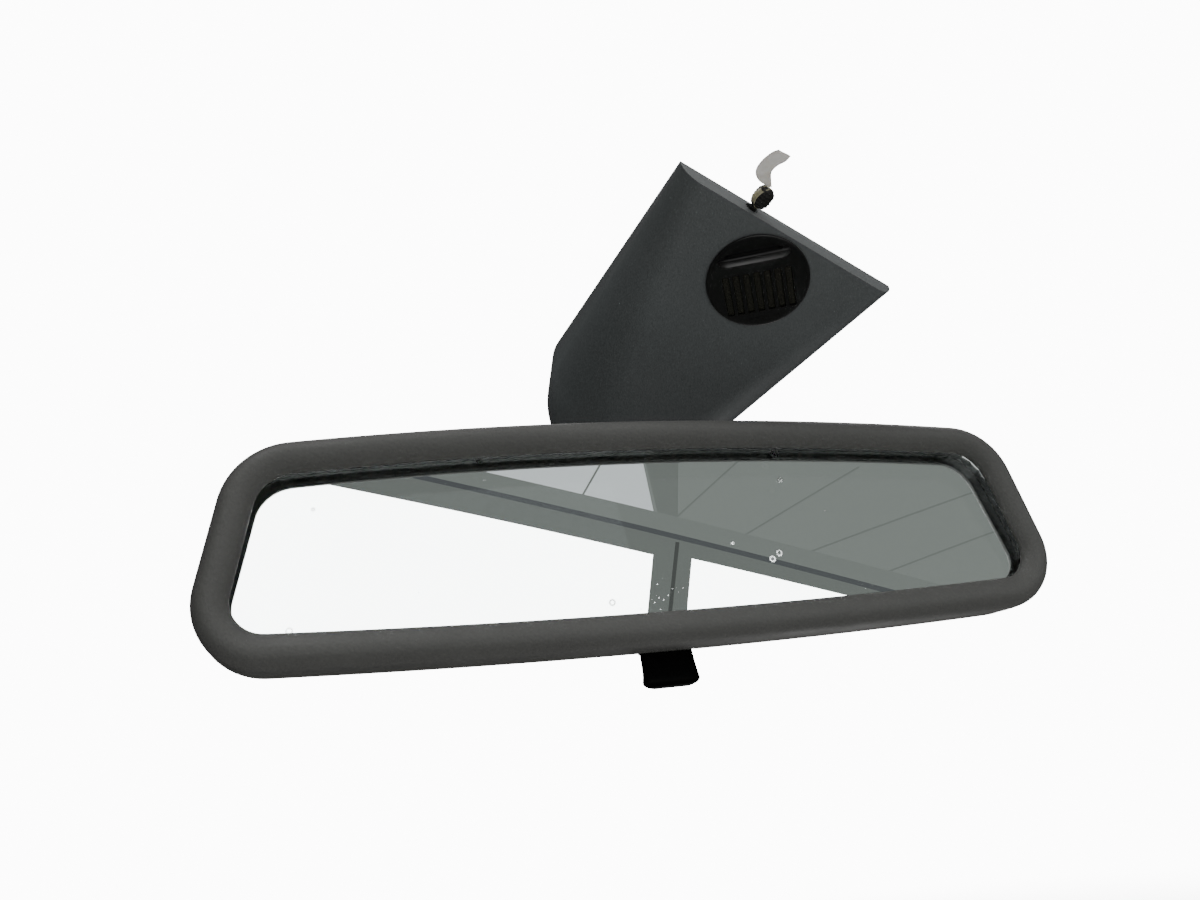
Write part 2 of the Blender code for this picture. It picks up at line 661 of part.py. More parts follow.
def foot_cover():
    half = foot_outline()
    mirrored = [(Vector((-p.x, p.y)), Vector((-n.x, n.y))) for p, n in reversed(half[:-1])]
    whole = half + mirrored
    depth = [FOOT_END_DEPTH - p.y * math.tan(FOOT_WEDGE) for p, _ in whole]
    growth = (FOOT_ROUNDING_NOSE - FOOT_ROUNDING_TOP) / -FOOT_NOSE_CENTRE
    rounding = [min(FOOT_ROUNDING_TOP - p.y * growth, FOOT_ROUNDING_NOSE) for p, _ in whole]
    rings = []
    for angle in [math.radians(a) for a in (0, 18, 36, 54, 72, 90)]:
        rings.append([
            (p.x - n.x * r * (1 - math.sin(angle)), r * (1 - math.cos(angle)),
             p.y - n.y * r * (1 - math.sin(angle)))
            for (p, n), r in zip(whole, rounding)])
    rings.append([(p.x, d + 2 * MM, p.y) for (p, _), d in zip(whole, depth)])
    piece = skin(rings, False, [0])
    close_top_end(piece.data, len(whole), len(rings))
    wall = piece.modifiers.new("wall", "SOLIDIFY")
    wall.thickness = FOOT_WALL
    wall.offset = -1
    wall.use_even_offset = True
    piece = evaluated(piece, "cover")
    trim = box((-80 * MM, -RIM_CLEARANCE, -90 * MM), (80 * MM, 40 * MM, 110 * MM))
    trim.data.transform(Matrix.Translation(PAD_PLACE) @ Matrix.Rotation(FOOT_WEDGE, 4, "X"))
    cut(piece, trim)
    cut(piece, cylinder(CAP_HOLE_RADIUS, -10 * MM, 7 * MM, "Y", (0, 0, CAP_CENTRE_V), 40))
    cut(piece, cylinder(2.1 * MM, -5 * MM, 6 * MM, "Z", (KNOT_CENTRE.x, 4.5 * MM, 0), 12))
    arm_cutter = cylinder(8.5 * MM, -22 * MM, 16 * MM, "Z", (0, 0, 0), 28)
    aim = (arm_route()[3] - arm_route()[2]).to_track_quat("Z", "Y").to_matrix().to_4x4()
    arm_cutter.data.transform(Matrix.Translation(arm_route()[2]) @ aim)
    cut(piece, arm_cutter)
    return attach(piece, "foot_cover", FOOT, GREY_FOOT)


def close_top_end(mesh, count, rows):
    """Fills the flat end wall between the two ends of every ring, leaving the back open."""
    work = bmesh.new()
    work.from_mesh(mesh)
    work.verts.ensure_lookup_table()
    right = [work.verts[row * count] for row in range(rows)]
    left = [work.verts[row * count + count - 1] for row in range(rows)]
    work.faces.new([*right, *reversed(left)])
    bmesh.ops.recalc_face_normals(work, faces=work.faces)
    work.to_mesh(mesh)
    work.free()


def arm_route():
    """Places along the arm, in the foot's axes, from the base to the ball."""
    places = [Vector((0, 24.6, -72.8)), Vector((0, 17, -83)), Vector((0.4, 3, -95)),
              Vector((0.9, -11, -104)), Vector((1.8, -25, -107.5)), Vector((3.0, -37, -104.5))]
    return [p * MM for p in places] + [BALL_IN_FOOT + NECK_IN_FOOT * 14 * MM, BALL_IN_FOOT + NECK_IN_FOOT * 3 * MM]


def mirror_arm():
    piece = rod(smooth_path(arm_route(), 28), ARM_RADIUS + 1.0 * MM, 4)
    ends = smooth_path(arm_route(), 28)
    for vertex in piece.data.vertices:
        near = (vertex.co - BALL_IN_FOOT).length
        slim = min(max((20 * MM - near) / (9 * MM), 0.0), 1.0)
        nearest = min(ends, key=lambda p: (p - vertex.co).length)
        vertex.co = nearest + (vertex.co - nearest) * (1 - slim * (1 - ARM_RADIUS / (ARM_RADIUS + 1.0 * MM)))
    work = bmesh.new()
    bmesh.ops.create_uvsphere(work, u_segments=28, v_segments=16, radius=BALL_RADIUS)
    bmesh.ops.translate(work, vec=BALL_IN_FOOT, verts=work.verts)
    ball = bpy.data.meshes.new("ball")
    work.to_mesh(ball)
    work.free()
    join(piece, mesh_object("ball", ball))
    flange = cylinder(12 * MM, -8.9 * MM, -5.6 * MM, "Y", (0, 0, 0), 32)
    collar = cylinder(7 * MM, -13.5 * MM, -8.0 * MM, "Y", (0, 0, -1.5 * MM), 24)
    for tool in (flange, collar):
        tool.data.transform(Matrix.Translation(PAD_PLACE) @ Matrix.Rotation(FOOT_WEDGE, 4, "X"))
        join(piece, tool)
    for place in arm_screw_places():
        hole = cylinder(1.9 * MM, -12 * MM, 0, "Y", place, 12)
        hole.data.transform(Matrix.Translation(PAD_PLACE) @ Matrix.Rotation(FOOT_WEDGE, 4, "X"))
        cut(piece, hole)
    return attach(piece, "mirror_arm", FOOT, ZINC)


def arm_screw_places():
    """Three places round the arm's flange, in the windscreen's axes."""
    return [Vector((9.6 * MM * math.cos(a), 0, 9.6 * MM * math.sin(a)))
            for a in [math.radians(90 + 120 * i) for i in range(3)]]


def arm_screws():
    piece = fastener(1.8 * MM, 1.2 * MM, 1.3 * MM, 5.6 * MM)
    piece.data.transform(TURN_TO["Y"])
    places = [p + Vector((0, -9.2 * MM, 0)) for p in arm_screw_places()]
    repeat(piece, "arm_screw", places, PAD, STEEL)


def base_bracket():
    half_x, half_z = PAD_SIZE[0] / 2, PAD_SIZE[1] / 2
    low = -(PAD_THICKNESS + GAP + BASE_THICKNESS)
    high = -(PAD_THICKNESS + GAP)
    piece = plate(rounded_rectangle(half_x, half_z, 6 * MM), "Y", low, high)
    for side in (-1, 1):
        wall = sorted((side * (half_x - 2 * MM), side * half_x))
        rib = box((wall[0], low - 5 * MM, -half_z + 8 * MM), (wall[1], low + 1 * MM, half_z - 8 * MM))
        join(piece, rib)
    for place in arm_screw_places():
        cut(piece, cylinder(1.6 * MM, -12 * MM, 5 * MM, "Y", place, 12))
    return attach(piece, "base_bracket", PAD, ZINC)


def rounded_rectangle(half_x, half_z, radius, steps=4):
    corners = [(1, 1, 0), (-1, 1, 90), (-1, -1, 180), (1, -1, 270)]
    return [(sx * (half_x - radius) + radius * math.cos(math.radians(turn + 90 * i / steps)),
             sz * (half_z - radius) + radius * math.sin(math.radians(turn + 90 * i / steps)))
            for sx, sz, turn in corners for i in range(steps + 1)]


def windscreen_pad():
    piece = plate(rounded_rectangle(PAD_SIZE[0] / 2, PAD_SIZE[1] / 2, 6 * MM), "Y", -PAD_THICKNESS, 0)
    return attach(piece, "windscreen_pad", PAD, FOAM)


# ---------------------------------------------------------------- vent cap and sensor

def vent_cap():
    piece = turned([
        (0, 1.0 * MM), (13.0 * MM, 1.0 * MM), (13.4 * MM, 1.7 * MM), (14.3 * MM, 1.9 * MM),
        (15.0 * MM, 1.6 * MM), (CAP_RADIUS, 0.9 * MM), (CAP_RADIUS, GAP), (12.8 * MM, GAP),
        (12.8 * MM, -2.8 * MM), (11.8 * MM, -2.8 * MM), (11.8 * MM, -0.3 * MM), (0, -0.3 * MM)], steps=44)
    grip_half = math.sqrt((13.8 * MM) ** 2 - GRIP_Y ** 2)
    join(piece, box((-grip_half, GRIP_Y - 0.95 * MM, 0.5 * MM), (grip_half, GRIP_Y + 0.95 * MM, 1.85 * MM)))
    start = math.asin((GRIP_Y + 1.3 * MM) / (12.6 * MM))
    steps = 12
    crescent = [(12.6 * MM * math.cos(start + (math.pi - 2 * start) * i / steps),
                 12.6 * MM * math.sin(start + (math.pi - 2 * start) * i / steps)) for i in range(steps + 1)]
    cut(piece, plate(crescent, "Z", 0.4 * MM, 4 * MM))
    for i in range(SLOT_COUNT):
        middle = (i - (SLOT_COUNT - 1) / 2) * SLOT_PITCH
        half_x, half_y = SLOT_SIZE[0] / 2, SLOT_SIZE[1] / 2
        cut(piece, box((middle - half_x, SLOT_CENTRE_Y - half_y, -2 * MM),
                       (middle + half_x, SLOT_CENTRE_Y + half_y, 4 * MM)))
    return attach(piece, "vent_cap", CAP, BLACK)


def filter_foam():
    return attach(cylinder(11.4 * MM, -2.3 * MM, -0.6 * MM, "Z", segments=32), "filter_foam", CAP, FOAM)


def sensor_body():
    piece = turned([
        (17.5 * MM, -2.5 * MM), (17.5 * MM, -4.1 * MM), (11.6 * MM, -4.1 * MM), (11.6 * MM, -8.6 * MM),
        (0, -8.6 * MM), (0, -7.7 * MM), (10.6 * MM, -7.7 * MM), (10.6 * MM, -3.1 * MM),
        (13.6 * MM, -3.1 * MM), (13.6 * MM, -2.5 * MM)], steps=32)
    flat = box((-30 * MM, 13.4 * MM, -12 * MM), (30 * MM, 30 * MM, 5 * MM))
    flat.data.transform(Matrix.Rotation(-CAP_TURN, 4, "Z"))
    cut(piece, flat)
    return attach(piece, "sensor_body", CAP, BLACK)


def fan_rotor():
    piece = turned([(3.2 * MM, -4.7 * MM), (3.2 * MM, -6.9 * MM), (1.1 * MM, -6.9 * MM),
                    (1.1 * MM, -4.7 * MM)], steps=20)
    for i in range(FAN_BLADES):
        blade = box((2.6 * MM, -0.35 * MM, -1.2 * MM), (8.8 * MM, 0.35 * MM, 1.2 * MM))
        pitch = Matrix.Rotation(math.radians(50), 4, "X")
        turn = Matrix.Rotation(2 * math.pi * i / FAN_BLADES, 4, "Z")
        blade.data.transform(turn @ Matrix.Translation((0, 0, -5.8 * MM)) @ pitch)
        join(piece, blade)
    return attach(piece, "fan_rotor", FAN, ACETAL)


def fan_shaft():
    piece = cylinder(0.8 * MM, -7.4 * MM, -4.3 * MM, "Z", segments=12)
    return attach(piece, "fan_shaft", CAP, STEEL)


def thermistor():
    piece = turned([(0, 0.9 * MM), (0.55 * MM, 0.75 * MM), (0.9 * MM, 0.2 * MM), (0.75 * MM, -0.6 * MM),
                    (0.3 * MM, -1.1 * MM), (0.3 * MM, -4.2 * MM), (0, -4.2 * MM)], "X",
                   (6.2 * MM, 0, -3.6 * MM), 12)
    piece.data.transform(Matrix.Translation((12.4 * MM, 0, 0)) @ Matrix.Scale(-1, 4, (1, 0, 0)))
    tidy_mesh(piece.data)
    return attach(piece, "thermistor", CAP, BOARD)


def sensor_board():
    piece = box((-9 * MM, 4.0 * MM, -46 * MM), (9 * MM, 5.2 * MM, -36.5 * MM))
    return attach(piece, "sensor_board", FOOT, BOARD)


def sensor_plug():
    piece = box((-6 * MM, 5.5 * MM, -44.5 * MM), (2 * MM, 10.5 * MM, -38.5 * MM))
    return attach(piece, "sensor_plug", FOOT, BLACK)


def harness_route():
    places = [(-6.4, 8, -41.5), (-12, 8.4, -40), (-18, 8.2, -34), (-20.8, 7.4, -24), (-19.8, 6.4, -12),
              (-15.6, 5.7, -5), (-13.6, 4.6, -1), (-13.6, 4.0, 1.0)]
    return [Vector(p) * MM for p in places]


def sensor_harness():
    piece = rod(smooth_path(harness_route(), 22), HARNESS_RADIUS, 2)
    return attach(piece, "sensor_harness", FOOT, TAPE)


def harness_knot():
    profile = [(0, KNOT_HALF), (1.6 * MM, 0.92 * KNOT_HALF), (2.6 * MM, 0.62 * KNOT_HALF),
               (KNOT_RADIUS, 0.1 * KNOT_HALF), (2.7 * MM, -0.5 * KNOT_HALF), (1.9 * MM, -0.86 * KNOT_HALF),
               (1.2 * MM, -KNOT_HALF), (0, -KNOT_HALF)]
    piece = turned(profile, "Z", KNOT_CENTRE, 20)
    return attach(piece, "harness_knot", FOOT, TAPE)


def label_strap():
    """A clear strip wound once and a half round the bundle."""
    turns, points = 1.5, 26
    radius = KNOT_RADIUS + 0.75 * MM
    path = [KNOT_CENTRE + Vector((
        radius * math.cos(2 * math.pi * turns * i / points),
        radius * 0.86 * math.sin(2 * math.pi * turns * i / points),
        (2.4 * i / points - 1.2) * MM)) for i in range(points + 1)]
    return attach(rod(path, 0.3 * MM, 1), "label_strap", FOOT, STRAP)


def label_flag():
    """A blank paper strip that stands on the bundle and leans forward, clear of the windscreen."""
    outline = [(-0.7, 0.0), (0.7, 0.0), (0.3, 2.2), (-0.6, 5.6), (1.2, 8.6), (1.9, 12.0), (1.0, 13.4),
               (-2.8, 13.2), (-3.4, 9.0), (-3.5, 4.2), (-2.6, 1.2)]
    foot = KNOT_CENTRE + Vector((0, 0, KNOT_HALF + GAP))
    piece = plate([(a * MM, b * MM) for a, b in outline], "Y", -0.15 * MM, 0.15 * MM)
    lean = Matrix.Rotation(FLAG_LEAN, 4, "X") @ Matrix.Rotation(-FLAG_TILT, 4, "Y")
    piece.data.transform(Matrix.Translation(foot) @ lean)
    return attach(piece, "label_flag", FOOT, PAPER)


# ---------------------------------------------------------------- build

for make in (bezel, rear_housing, mirror_glass, silver_backing, carrier_plate, carrier_screws, ball_liner,
             ball_cup, toggle_bracket, pivot_pin, lever_pin, toggle_spring, day_night_lever, foot_cover,
             mirror_arm, arm_screws, base_bracket, windscreen_pad, vent_cap, filter_foam, sensor_body,
             fan_rotor, fan_shaft, thermistor, sensor_board, sensor_plug, sensor_harness, harness_knot,
             label_strap, label_flag):
    make()
glass_cushion("glass_cushion_left", -1)
glass_cushion("glass_cushion_right", 1)
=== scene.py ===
import json
import math

import bmesh
import bpy
from mathutils import Euler, Matrix, Vector, noise


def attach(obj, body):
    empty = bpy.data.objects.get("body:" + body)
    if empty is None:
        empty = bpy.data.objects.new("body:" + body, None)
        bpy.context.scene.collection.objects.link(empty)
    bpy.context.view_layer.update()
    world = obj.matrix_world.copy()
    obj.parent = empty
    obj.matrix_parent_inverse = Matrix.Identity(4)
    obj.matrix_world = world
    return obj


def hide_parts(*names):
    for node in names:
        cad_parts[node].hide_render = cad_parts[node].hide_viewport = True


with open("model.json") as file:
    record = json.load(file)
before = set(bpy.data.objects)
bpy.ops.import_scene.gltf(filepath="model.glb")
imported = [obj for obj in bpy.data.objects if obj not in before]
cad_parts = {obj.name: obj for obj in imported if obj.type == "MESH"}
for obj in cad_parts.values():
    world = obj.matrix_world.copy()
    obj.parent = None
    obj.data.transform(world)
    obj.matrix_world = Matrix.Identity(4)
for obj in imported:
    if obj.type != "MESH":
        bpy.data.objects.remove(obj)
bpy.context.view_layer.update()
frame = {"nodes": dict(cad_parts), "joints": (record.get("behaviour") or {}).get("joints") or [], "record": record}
NODES = frame["nodes"]
JOINTS = {joint["name"]: Vector(joint["pos_m"]) for joint in frame["joints"]}
MM = 0.001

# Local frames of the part, whose pieces are built in millimetres
SCALE = Matrix.Scale(MM, 4)
TO_Y = Matrix(((1, 0, 0), (0, 0, -1), (0, 1, 0))).to_4x4()
HEAD = Matrix.Translation(JOINTS["head_tilt"] - Vector((0, 17, 20.5)) * MM) @ SCALE
BALL = Vector((0, 20, 2))
LEVER_PIN = Vector((0, 18, -20.5))
FOOT_TURN = Euler([math.radians(a) for a in (67.26, 22.77, 12.27)]).to_matrix()
CAP_CENTRE = Vector((0, 0, -16.3))
CAP_TURN = math.radians(44)
FOOT = (Matrix.Translation(JOINTS["cap_twist"] - FOOT_TURN @ (CAP_CENTRE * MM))
        @ FOOT_TURN.to_4x4() @ SCALE)
WEDGE = math.radians(19.8)
PAD_PLACE = Vector((0, 8 + 66 * math.tan(WEDGE), -66))
PAD_IN_FOOT = Matrix.Translation(PAD_PLACE) @ Matrix.Rotation(WEDGE, 4, "X")
PAD = FOOT @ PAD_IN_FOOT
CAP = (FOOT @ Matrix.Translation(CAP_CENTRE) @ Matrix.Rotation(math.pi / 2, 4, "X")
       @ Matrix.Rotation(CAP_TURN, 4, "Z"))


# ---------------------------------------------------------------- camera, floor and light

def camera():
    data = bpy.data.cameras.new("camera")
    data.sensor_width = 36
    data.lens = 28.2
    data.clip_start = 0.01
    made = bpy.data.objects.new("camera", data)
    made.location = (-0.11597, -0.27873, -0.14285)
    made.rotation_euler = [math.radians(a) for a in (109.526, 7.014, -14.894)]
    bpy.context.scene.collection.objects.link(made)
    bpy.context.scene.camera = made


def area_light(name, place, target, size, power):
    data = bpy.data.lights.new(name, "AREA")
    data.shape = "RECTANGLE"
    data.size, data.size_y = size
    data.energy = power
    made = bpy.data.objects.new(name, data)
    made.location = place
    made.rotation_euler = (Vector(target) - Vector(place)).to_track_quat("-Z", "Y").to_euler()
    made.visible_camera = False
    bpy.context.scene.collection.objects.link(made)


def world_light(seen, mirrored, cast):
    """An even white surround: brightest to the camera, paler in the mirror, faint as a light."""
    world = bpy.data.worlds.new("surround")
    bpy.context.scene.world = world
    world.use_nodes = True
    nodes, links = world.node_tree.nodes, world.node_tree.links
    path = nodes.new("ShaderNodeLightPath")
    steps = []
    for source, strength in (("Is Camera Ray", seen), ("Transmission Depth", mirrored)):
        step = nodes.new("ShaderNodeMapRange")
        step.inputs["To Min"].default_value = cast
        step.inputs["To Max"].default_value = strength
        links.new(path.outputs[source], step.inputs["Value"])
        steps.append(step.outputs["Result"])
    highest = nodes.new("ShaderNodeMath")
    highest.operation = "MAXIMUM"
    links.new(steps[0], highest.inputs[0])
    links.new(steps[1], highest.inputs[1])
    nodes["Background"].inputs["Color"].default_value = (1.0, 1.0, 1.0, 1)
    links.new(highest.outputs[0], nodes["Background"].inputs["Strength"])


# ---------------------------------------------------------------- materials

class Paint:
    """A Principled material with helpers for its procedural inputs, in the part's own metres."""

    def __init__(self, name, colour, roughness, metallic=0.0):
        self.name = name
        self.material = bpy.data.materials.new(name)
        self.material.use_nodes = True
        self.tree = self.material.node_tree
        self.shader = self.tree.nodes["Principled BSDF"]
        self.colour = colour
        self.set("Base Color", (*colour, 1))
        self.set("Roughness", roughness)
        self.set("Metallic", metallic)
        self.coord = self.add("TexCoord").outputs["Object"]

    def add(self, kind, **settings):
        node = self.tree.nodes.new("ShaderNode" + kind)
        for key, value in settings.items():
            setattr(node, key, value)
        return node

    def set(self, socket, value):
        self.shader.inputs[socket].default_value = value

    def link(self, source, socket):
        self.tree.links.new(source, socket)

    def stretched(self, scale):
        mapping = self.add("Mapping")
        mapping.inputs["Scale"].default_value = scale
        self.link(self.coord, mapping.inputs["Vector"])
        return mapping.outputs["Vector"]

    def noise(self, scale, detail=3.0, coord=None):
        node = self.add("TexNoise")
        node.inputs["Scale"].default_value = scale
        node.inputs["Detail"].default_value = detail
        self.link(coord or self.coord, node.inputs["Vector"])
        return node.outputs["Fac"]

    def cells(self, scale, feature="F1"):
        node = self.add("TexVoronoi", feature=feature)
        node.inputs["Scale"].default_value = scale
        self.link(self.coord, node.inputs["Vector"])
        return node.outputs["Distance"]

    def ranged(self, source, low, high, to_low=0.0, to_high=1.0):
        node = self.add("MapRange")
        for key, value in (("From Min", low), ("From Max", high), ("To Min", to_low), ("To Max", to_high)):
            node.inputs[key].default_value = value
        self.link(source, node.inputs["Value"])
        return node.outputs["Result"]

    def maths(self, operation, a, b):
        node = self.add("Math", operation=operation)
        for socket, value in zip(node.inputs, (a, b)):
            if isinstance(value, (int, float)):
                socket.default_value = value
            else:
                self.link(value, socket)
        return node.outputs[0]

    def mixed(self, factor, a, b):
        node = self.add("Mix", data_type="RGBA")
        self.link(factor, node.inputs["Factor"])
        for socket, value in ((node.inputs["A"], a), (node.inputs["B"], b)):
            if isinstance(value, tuple):
                socket.default_value = (*value, 1)
            else:
                self.link(value, socket)
        return node.outputs["Result"]

    def shades(self, factor, dark, light):
        """The base colour, a little darker and lighter by a factor."""
        low = tuple(c * dark for c in self.colour)
        high = tuple(min(c * light, 1.0) for c in self.colour)
        self.link(self.mixed(factor, low, high), self.shader.inputs["Base Color"])

    def bump(self, height, depth_mm):
        node = self.add("Bump")
        node.inputs["Distance"].default_value = depth_mm * MM
        self.link(height, node.inputs["Height"])
        self.link(node.outputs["Normal"], self.shader.inputs["Normal"])


def moulded(name, colour, roughness, grain_mm, depth, patch=0.1, shine=0.5):
    """Injection-moulded plastic: a pebbled grain, soft shade patches and faint polish marks."""
    paint = Paint(name, colour, roughness)
    paint.set("Specular IOR Level", shine)
    broad = paint.noise(22, 4)
    fine = paint.noise(1400, 2)
    tone = paint.maths("ADD", paint.maths("MULTIPLY", broad, 0.6), paint.maths("MULTIPLY", fine, 0.4))
    paint.shades(paint.ranged(tone, 0.3, 0.7), 1 - patch, 1 + patch)
    worn = paint.ranged(paint.noise(60, 5), 0.35, 0.7, roughness - 0.07, roughness + 0.07)
    paint.link(worn, paint.shader.inputs["Roughness"])
    pebbles = paint.cells(1 / (grain_mm * MM), "SMOOTH_F1")
    grain = paint.maths("ADD", pebbles, paint.maths("MULTIPLY", fine, 0.5))
    paint.bump(grain, depth)
    return paint


def metal(name, colour, roughness, grain, depth):
    """Bare metal with a cast or drawn grain and uneven dulling."""
    paint = Paint(name, colour, roughness, 1.0)
    paint.shades(paint.noise(90, 4), 0.8, 1.1)
    streaks = paint.noise(5, 4, paint.stretched(grain))
    dull = paint.ranged(paint.noise(150, 5), 0.3, 0.7, roughness * 0.75, roughness * 1.3)
    paint.link(dull, paint.shader.inputs["Roughness"])
    paint.bump(streaks, depth)
    return paint


def foam(name, dark, light, pore_mm, depth):
    """Open-pored foam: lighter cell walls, with painted shade darkening the pores between them."""
    paint = Paint(name, light, 0.95)
    pores = paint.cells(1 / (pore_mm * MM))
    small = paint.cells(2.3 / (pore_mm * MM))
    both = paint.maths("ADD", paint.maths("MULTIPLY", pores, 0.65), paint.maths("MULTIPLY", small, 0.35))
    # painted shade: the pore hollows take the dark colour and the cell walls the light one
    paint.link(paint.mixed(paint.ranged(both, 0.12, 0.6), dark, light), paint.shader.inputs["Base Color"])
    paint.bump(both, depth)
    return paint


def mirror_glass_paint():
    """Clear prism glass with dust, dried drops and a few wiped smears on its faces."""
    paint = Paint("prism_glass", (0.97, 0.99, 0.985), 0.0)
    paint.set("IOR", 1.52)
    paint.set("Transmission Weight", 1.0)
    cell = paint.add("TexVoronoi", feature="F1")
    cell.inputs["Scale"].default_value = 160
    paint.link(paint.coord, cell.inputs["Vector"])
    distance = cell.outputs["Distance"]
    rim = paint.maths("MULTIPLY", paint.ranged(distance, 0.09, 0.12), paint.ranged(distance, 0.18, 0.15))
    split = paint.add("SeparateColor")
    paint.link(cell.outputs["Color"], split.inputs["Color"])
    rare = paint.ranged(split.outputs[0], 0.955, 0.965)
    drops = paint.maths("MULTIPLY", rim, rare)
    specks = paint.maths("MULTIPLY", paint.ranged(paint.cells(520), 0.13, 0.06),
                         paint.ranged(paint.noise(45, 3), 0.60, 0.68))
    marks = paint.maths("MAXIMUM", drops, specks)
    haze = paint.maths("MULTIPLY", marks, 0.35)
    paint.link(haze, paint.shader.inputs["Roughness"])
    paint.link(paint.mixed(marks, paint.colour, (0.62, 0.63, 0.62)), paint.shader.inputs["Base Color"])
    return paint


def silvering_paint():
    """The reflecting coat behind the glass, very slightly uneven."""
    paint = Paint("silvering", (0.90, 0.915, 0.91), 0.0, 1.0)
    paint.shades(paint.noise(30, 2), 0.985, 1.01)
    return paint


def tape_paint():
    """Woven harness tape."""
    paint = Paint("harness_tape", (0.020, 0.020, 0.019), 0.55)
    weave = paint.add("TexWave", wave_type="BANDS", bands_direction="DIAGONAL")
    weave.inputs["Scale"].default_value = 900
    weave.inputs["Distortion"].default_value = 2.0
    paint.link(paint.coord, weave.inputs["Vector"])
    paint.shades(paint.noise(400, 3), 0.6, 1.9)
    paint.bump(weave.outputs["Fac"], 0.06)
    return paint


def strap_paint():
    """Cloudy, yellowed clear plastic."""
    paint = Paint("clear_strap", (0.66, 0.63, 0.42), 0.28)
    paint.set("Transmission Weight", 0.35)
    paint.set("IOR", 1.48)
    paint.shades(paint.noise(260, 3), 0.8, 1.15)
    paint.bump(paint.noise(1, 2, paint.stretched((300, 300, 2200))), 0.05)
    return paint


def paper_paint():
    """Slightly yellowed paper with fibres and soft handling marks."""
    paint = Paint("label_paper", (0.84, 0.82, 0.75), 0.85)
    paint.set("Subsurface Weight", 0.15)
    fibres = paint.noise(2600, 4)
    stains = paint.ranged(paint.noise(210, 4), 0.45, 0.75)
    shade = paint.mixed(stains, (0.93, 0.915, 0.86), (0.82, 0.78, 0.67))
    paint.link(shade, paint.shader.inputs["Base Color"])
    paint.bump(fibres, 0.03)
    return paint


def board_paint():
    """Solder mask over copper tracks."""
    paint = Paint("circuit_board", (0.02, 0.13, 0.055), 0.35)
    tracks = paint.add("TexBrick")
    for key, value in (("Scale", 420.0), ("Mortar Size", 0.06), ("Brick Width", 1.3), ("Row Height", 0.5)):
        tracks.inputs[key].default_value = value
    paint.link(paint.coord, tracks.inputs["Vector"])
    paint.link(paint.mixed(tracks.outputs["Fac"], (0.018, 0.11, 0.05), (0.05, 0.24, 0.10)),
               paint.shader.inputs["Base Color"])
    paint.bump(tracks.outputs["Fac"], 0.03)
    return paint


def plain_paint(name, colour, roughness, scale, depth):
    """A smooth moulded or fired finish with faint cloudiness."""
    paint = Paint(name, colour, roughness)
    paint.shades(paint.noise(scale, 3), 0.88, 1.1)
    paint.bump(paint.noise(scale * 8, 3), depth)
    return paint


def make_paints():
    paints = [
        moulded("grey_shell", (0.122, 0.124, 0.118), 0.62, 0.7, 0.09),
        moulded("grey_foot", (0.136, 0.150, 0.152), 0.58, 0.5, 0.04),
        moulded("vent_black", (0.006, 0.007, 0.006), 0.36, 0.35, 0.006, 0.25, 1.0),
        # lever_black is partly painted shade: the lever's black plastic is set darker than the other black
        # plastics, standing in for the shadow its tab sits in
        moulded("lever_black", (0.002, 0.002, 0.002), 0.50, 0.4, 0.02, 0.25, 0.12),
        moulded("black_plastic", (0.014, 0.014, 0.014), 0.48, 0.5, 0.03, 0.25),
        foam("filter_foam", (0.006, 0.006, 0.004), (0.030, 0.030, 0.020), 0.42, 0.3),
        foam("pad_foam", (0.010, 0.010, 0.010), (0.045, 0.045, 0.045), 0.35, 0.15),
        foam("cushion_foam", (0.03, 0.03, 0.03), (0.12, 0.12, 0.115), 0.5, 0.2),
        metal("zinc_casting", (0.42, 0.43, 0.44), 0.46, (500, 500, 500), 0.05),
        moulded("arm_coating", (0.030, 0.031, 0.032), 0.50, 0.3, 0.04, 0.15),
        metal("steel", (0.52, 0.53, 0.54), 0.34, (900, 60, 60), 0.015),
        metal("plated_steel", (0.62, 0.60, 0.52), 0.28, (400, 400, 400), 0.01),
        metal("spring_steel", (0.40, 0.41, 0.43), 0.30, (60, 900, 900), 0.012),
        plain_paint("acetal", (0.72, 0.71, 0.66), 0.42, 120, 0.02),
        plain_paint("thermistor_glass", (0.10, 0.05, 0.02), 0.12, 400, 0.01),
        mirror_glass_paint(), silvering_paint(), tape_paint(), strap_paint(), paper_paint(), board_paint(),
    ]
    return {paint.name: paint.material for paint in paints}


PAINTS = make_paints()


# ---------------------------------------------------------------- mesh helpers

def new_object(name, mesh):
    made = bpy.data.objects.new(name, mesh)
    bpy.context.scene.collection.objects.link(made)
    return made


def from_bmesh(name, work):
    bmesh.ops.remove_doubles(work, verts=work.verts, dist=0.0005)
    bmesh.ops.recalc_face_normals(work, faces=work.faces)
    mesh = bpy.data.meshes.new(name)
    work.to_mesh(mesh)
    work.free()
    return new_object(name, mesh)


def skin(name, rings, closed_ring=True, lids=()):
    """Quads between successive rings, with the listed rings filled as lids."""
    work = bmesh.new()
    rows = [[work.verts.new(point) for point in ring] for ring in rings]
    count = len(rows[0])
    for one, two in zip(rows, rows[1:]):
        for i in range(count if closed_ring else count - 1):
            j = (i + 1) % count
            work.faces.new((one[i], one[j], two[j], two[i]))
    for lid in lids:
        work.faces.new(rows[lid])
    return from_bmesh(name, work)


def turned(name, profile, steps):
    """A closed or axis-ended profile of (radius, height) turned about Z."""
    rings = []
    for radius, height in profile:
        angles = [2 * math.pi * i / steps for i in range(steps)]
        rings.append([(radius * math.cos(a), radius * math.sin(a), height) for a in angles])
    if profile[0][0] > 0 and profile[-1][0] > 0:
        rings.append(rings[0])
    return skin(name, rings)


def plate(name, outline, axis, low, high):
    """A flat outline extruded along an axis; pairs are (y, z) for X, (x, z) for Y and (x, y) for Z."""
    turn = {
        "X": lambda a, b, d: (d, a, b),
        "Y": lambda a, b, d: (a, d, b),
        "Z": lambda a, b, d: (a, b, d),
    }[axis]
    return skin(name, [[turn(a, b, low) for a, b in outline], [turn(a, b, high) for a, b in outline]],
                lids=(0, 1))


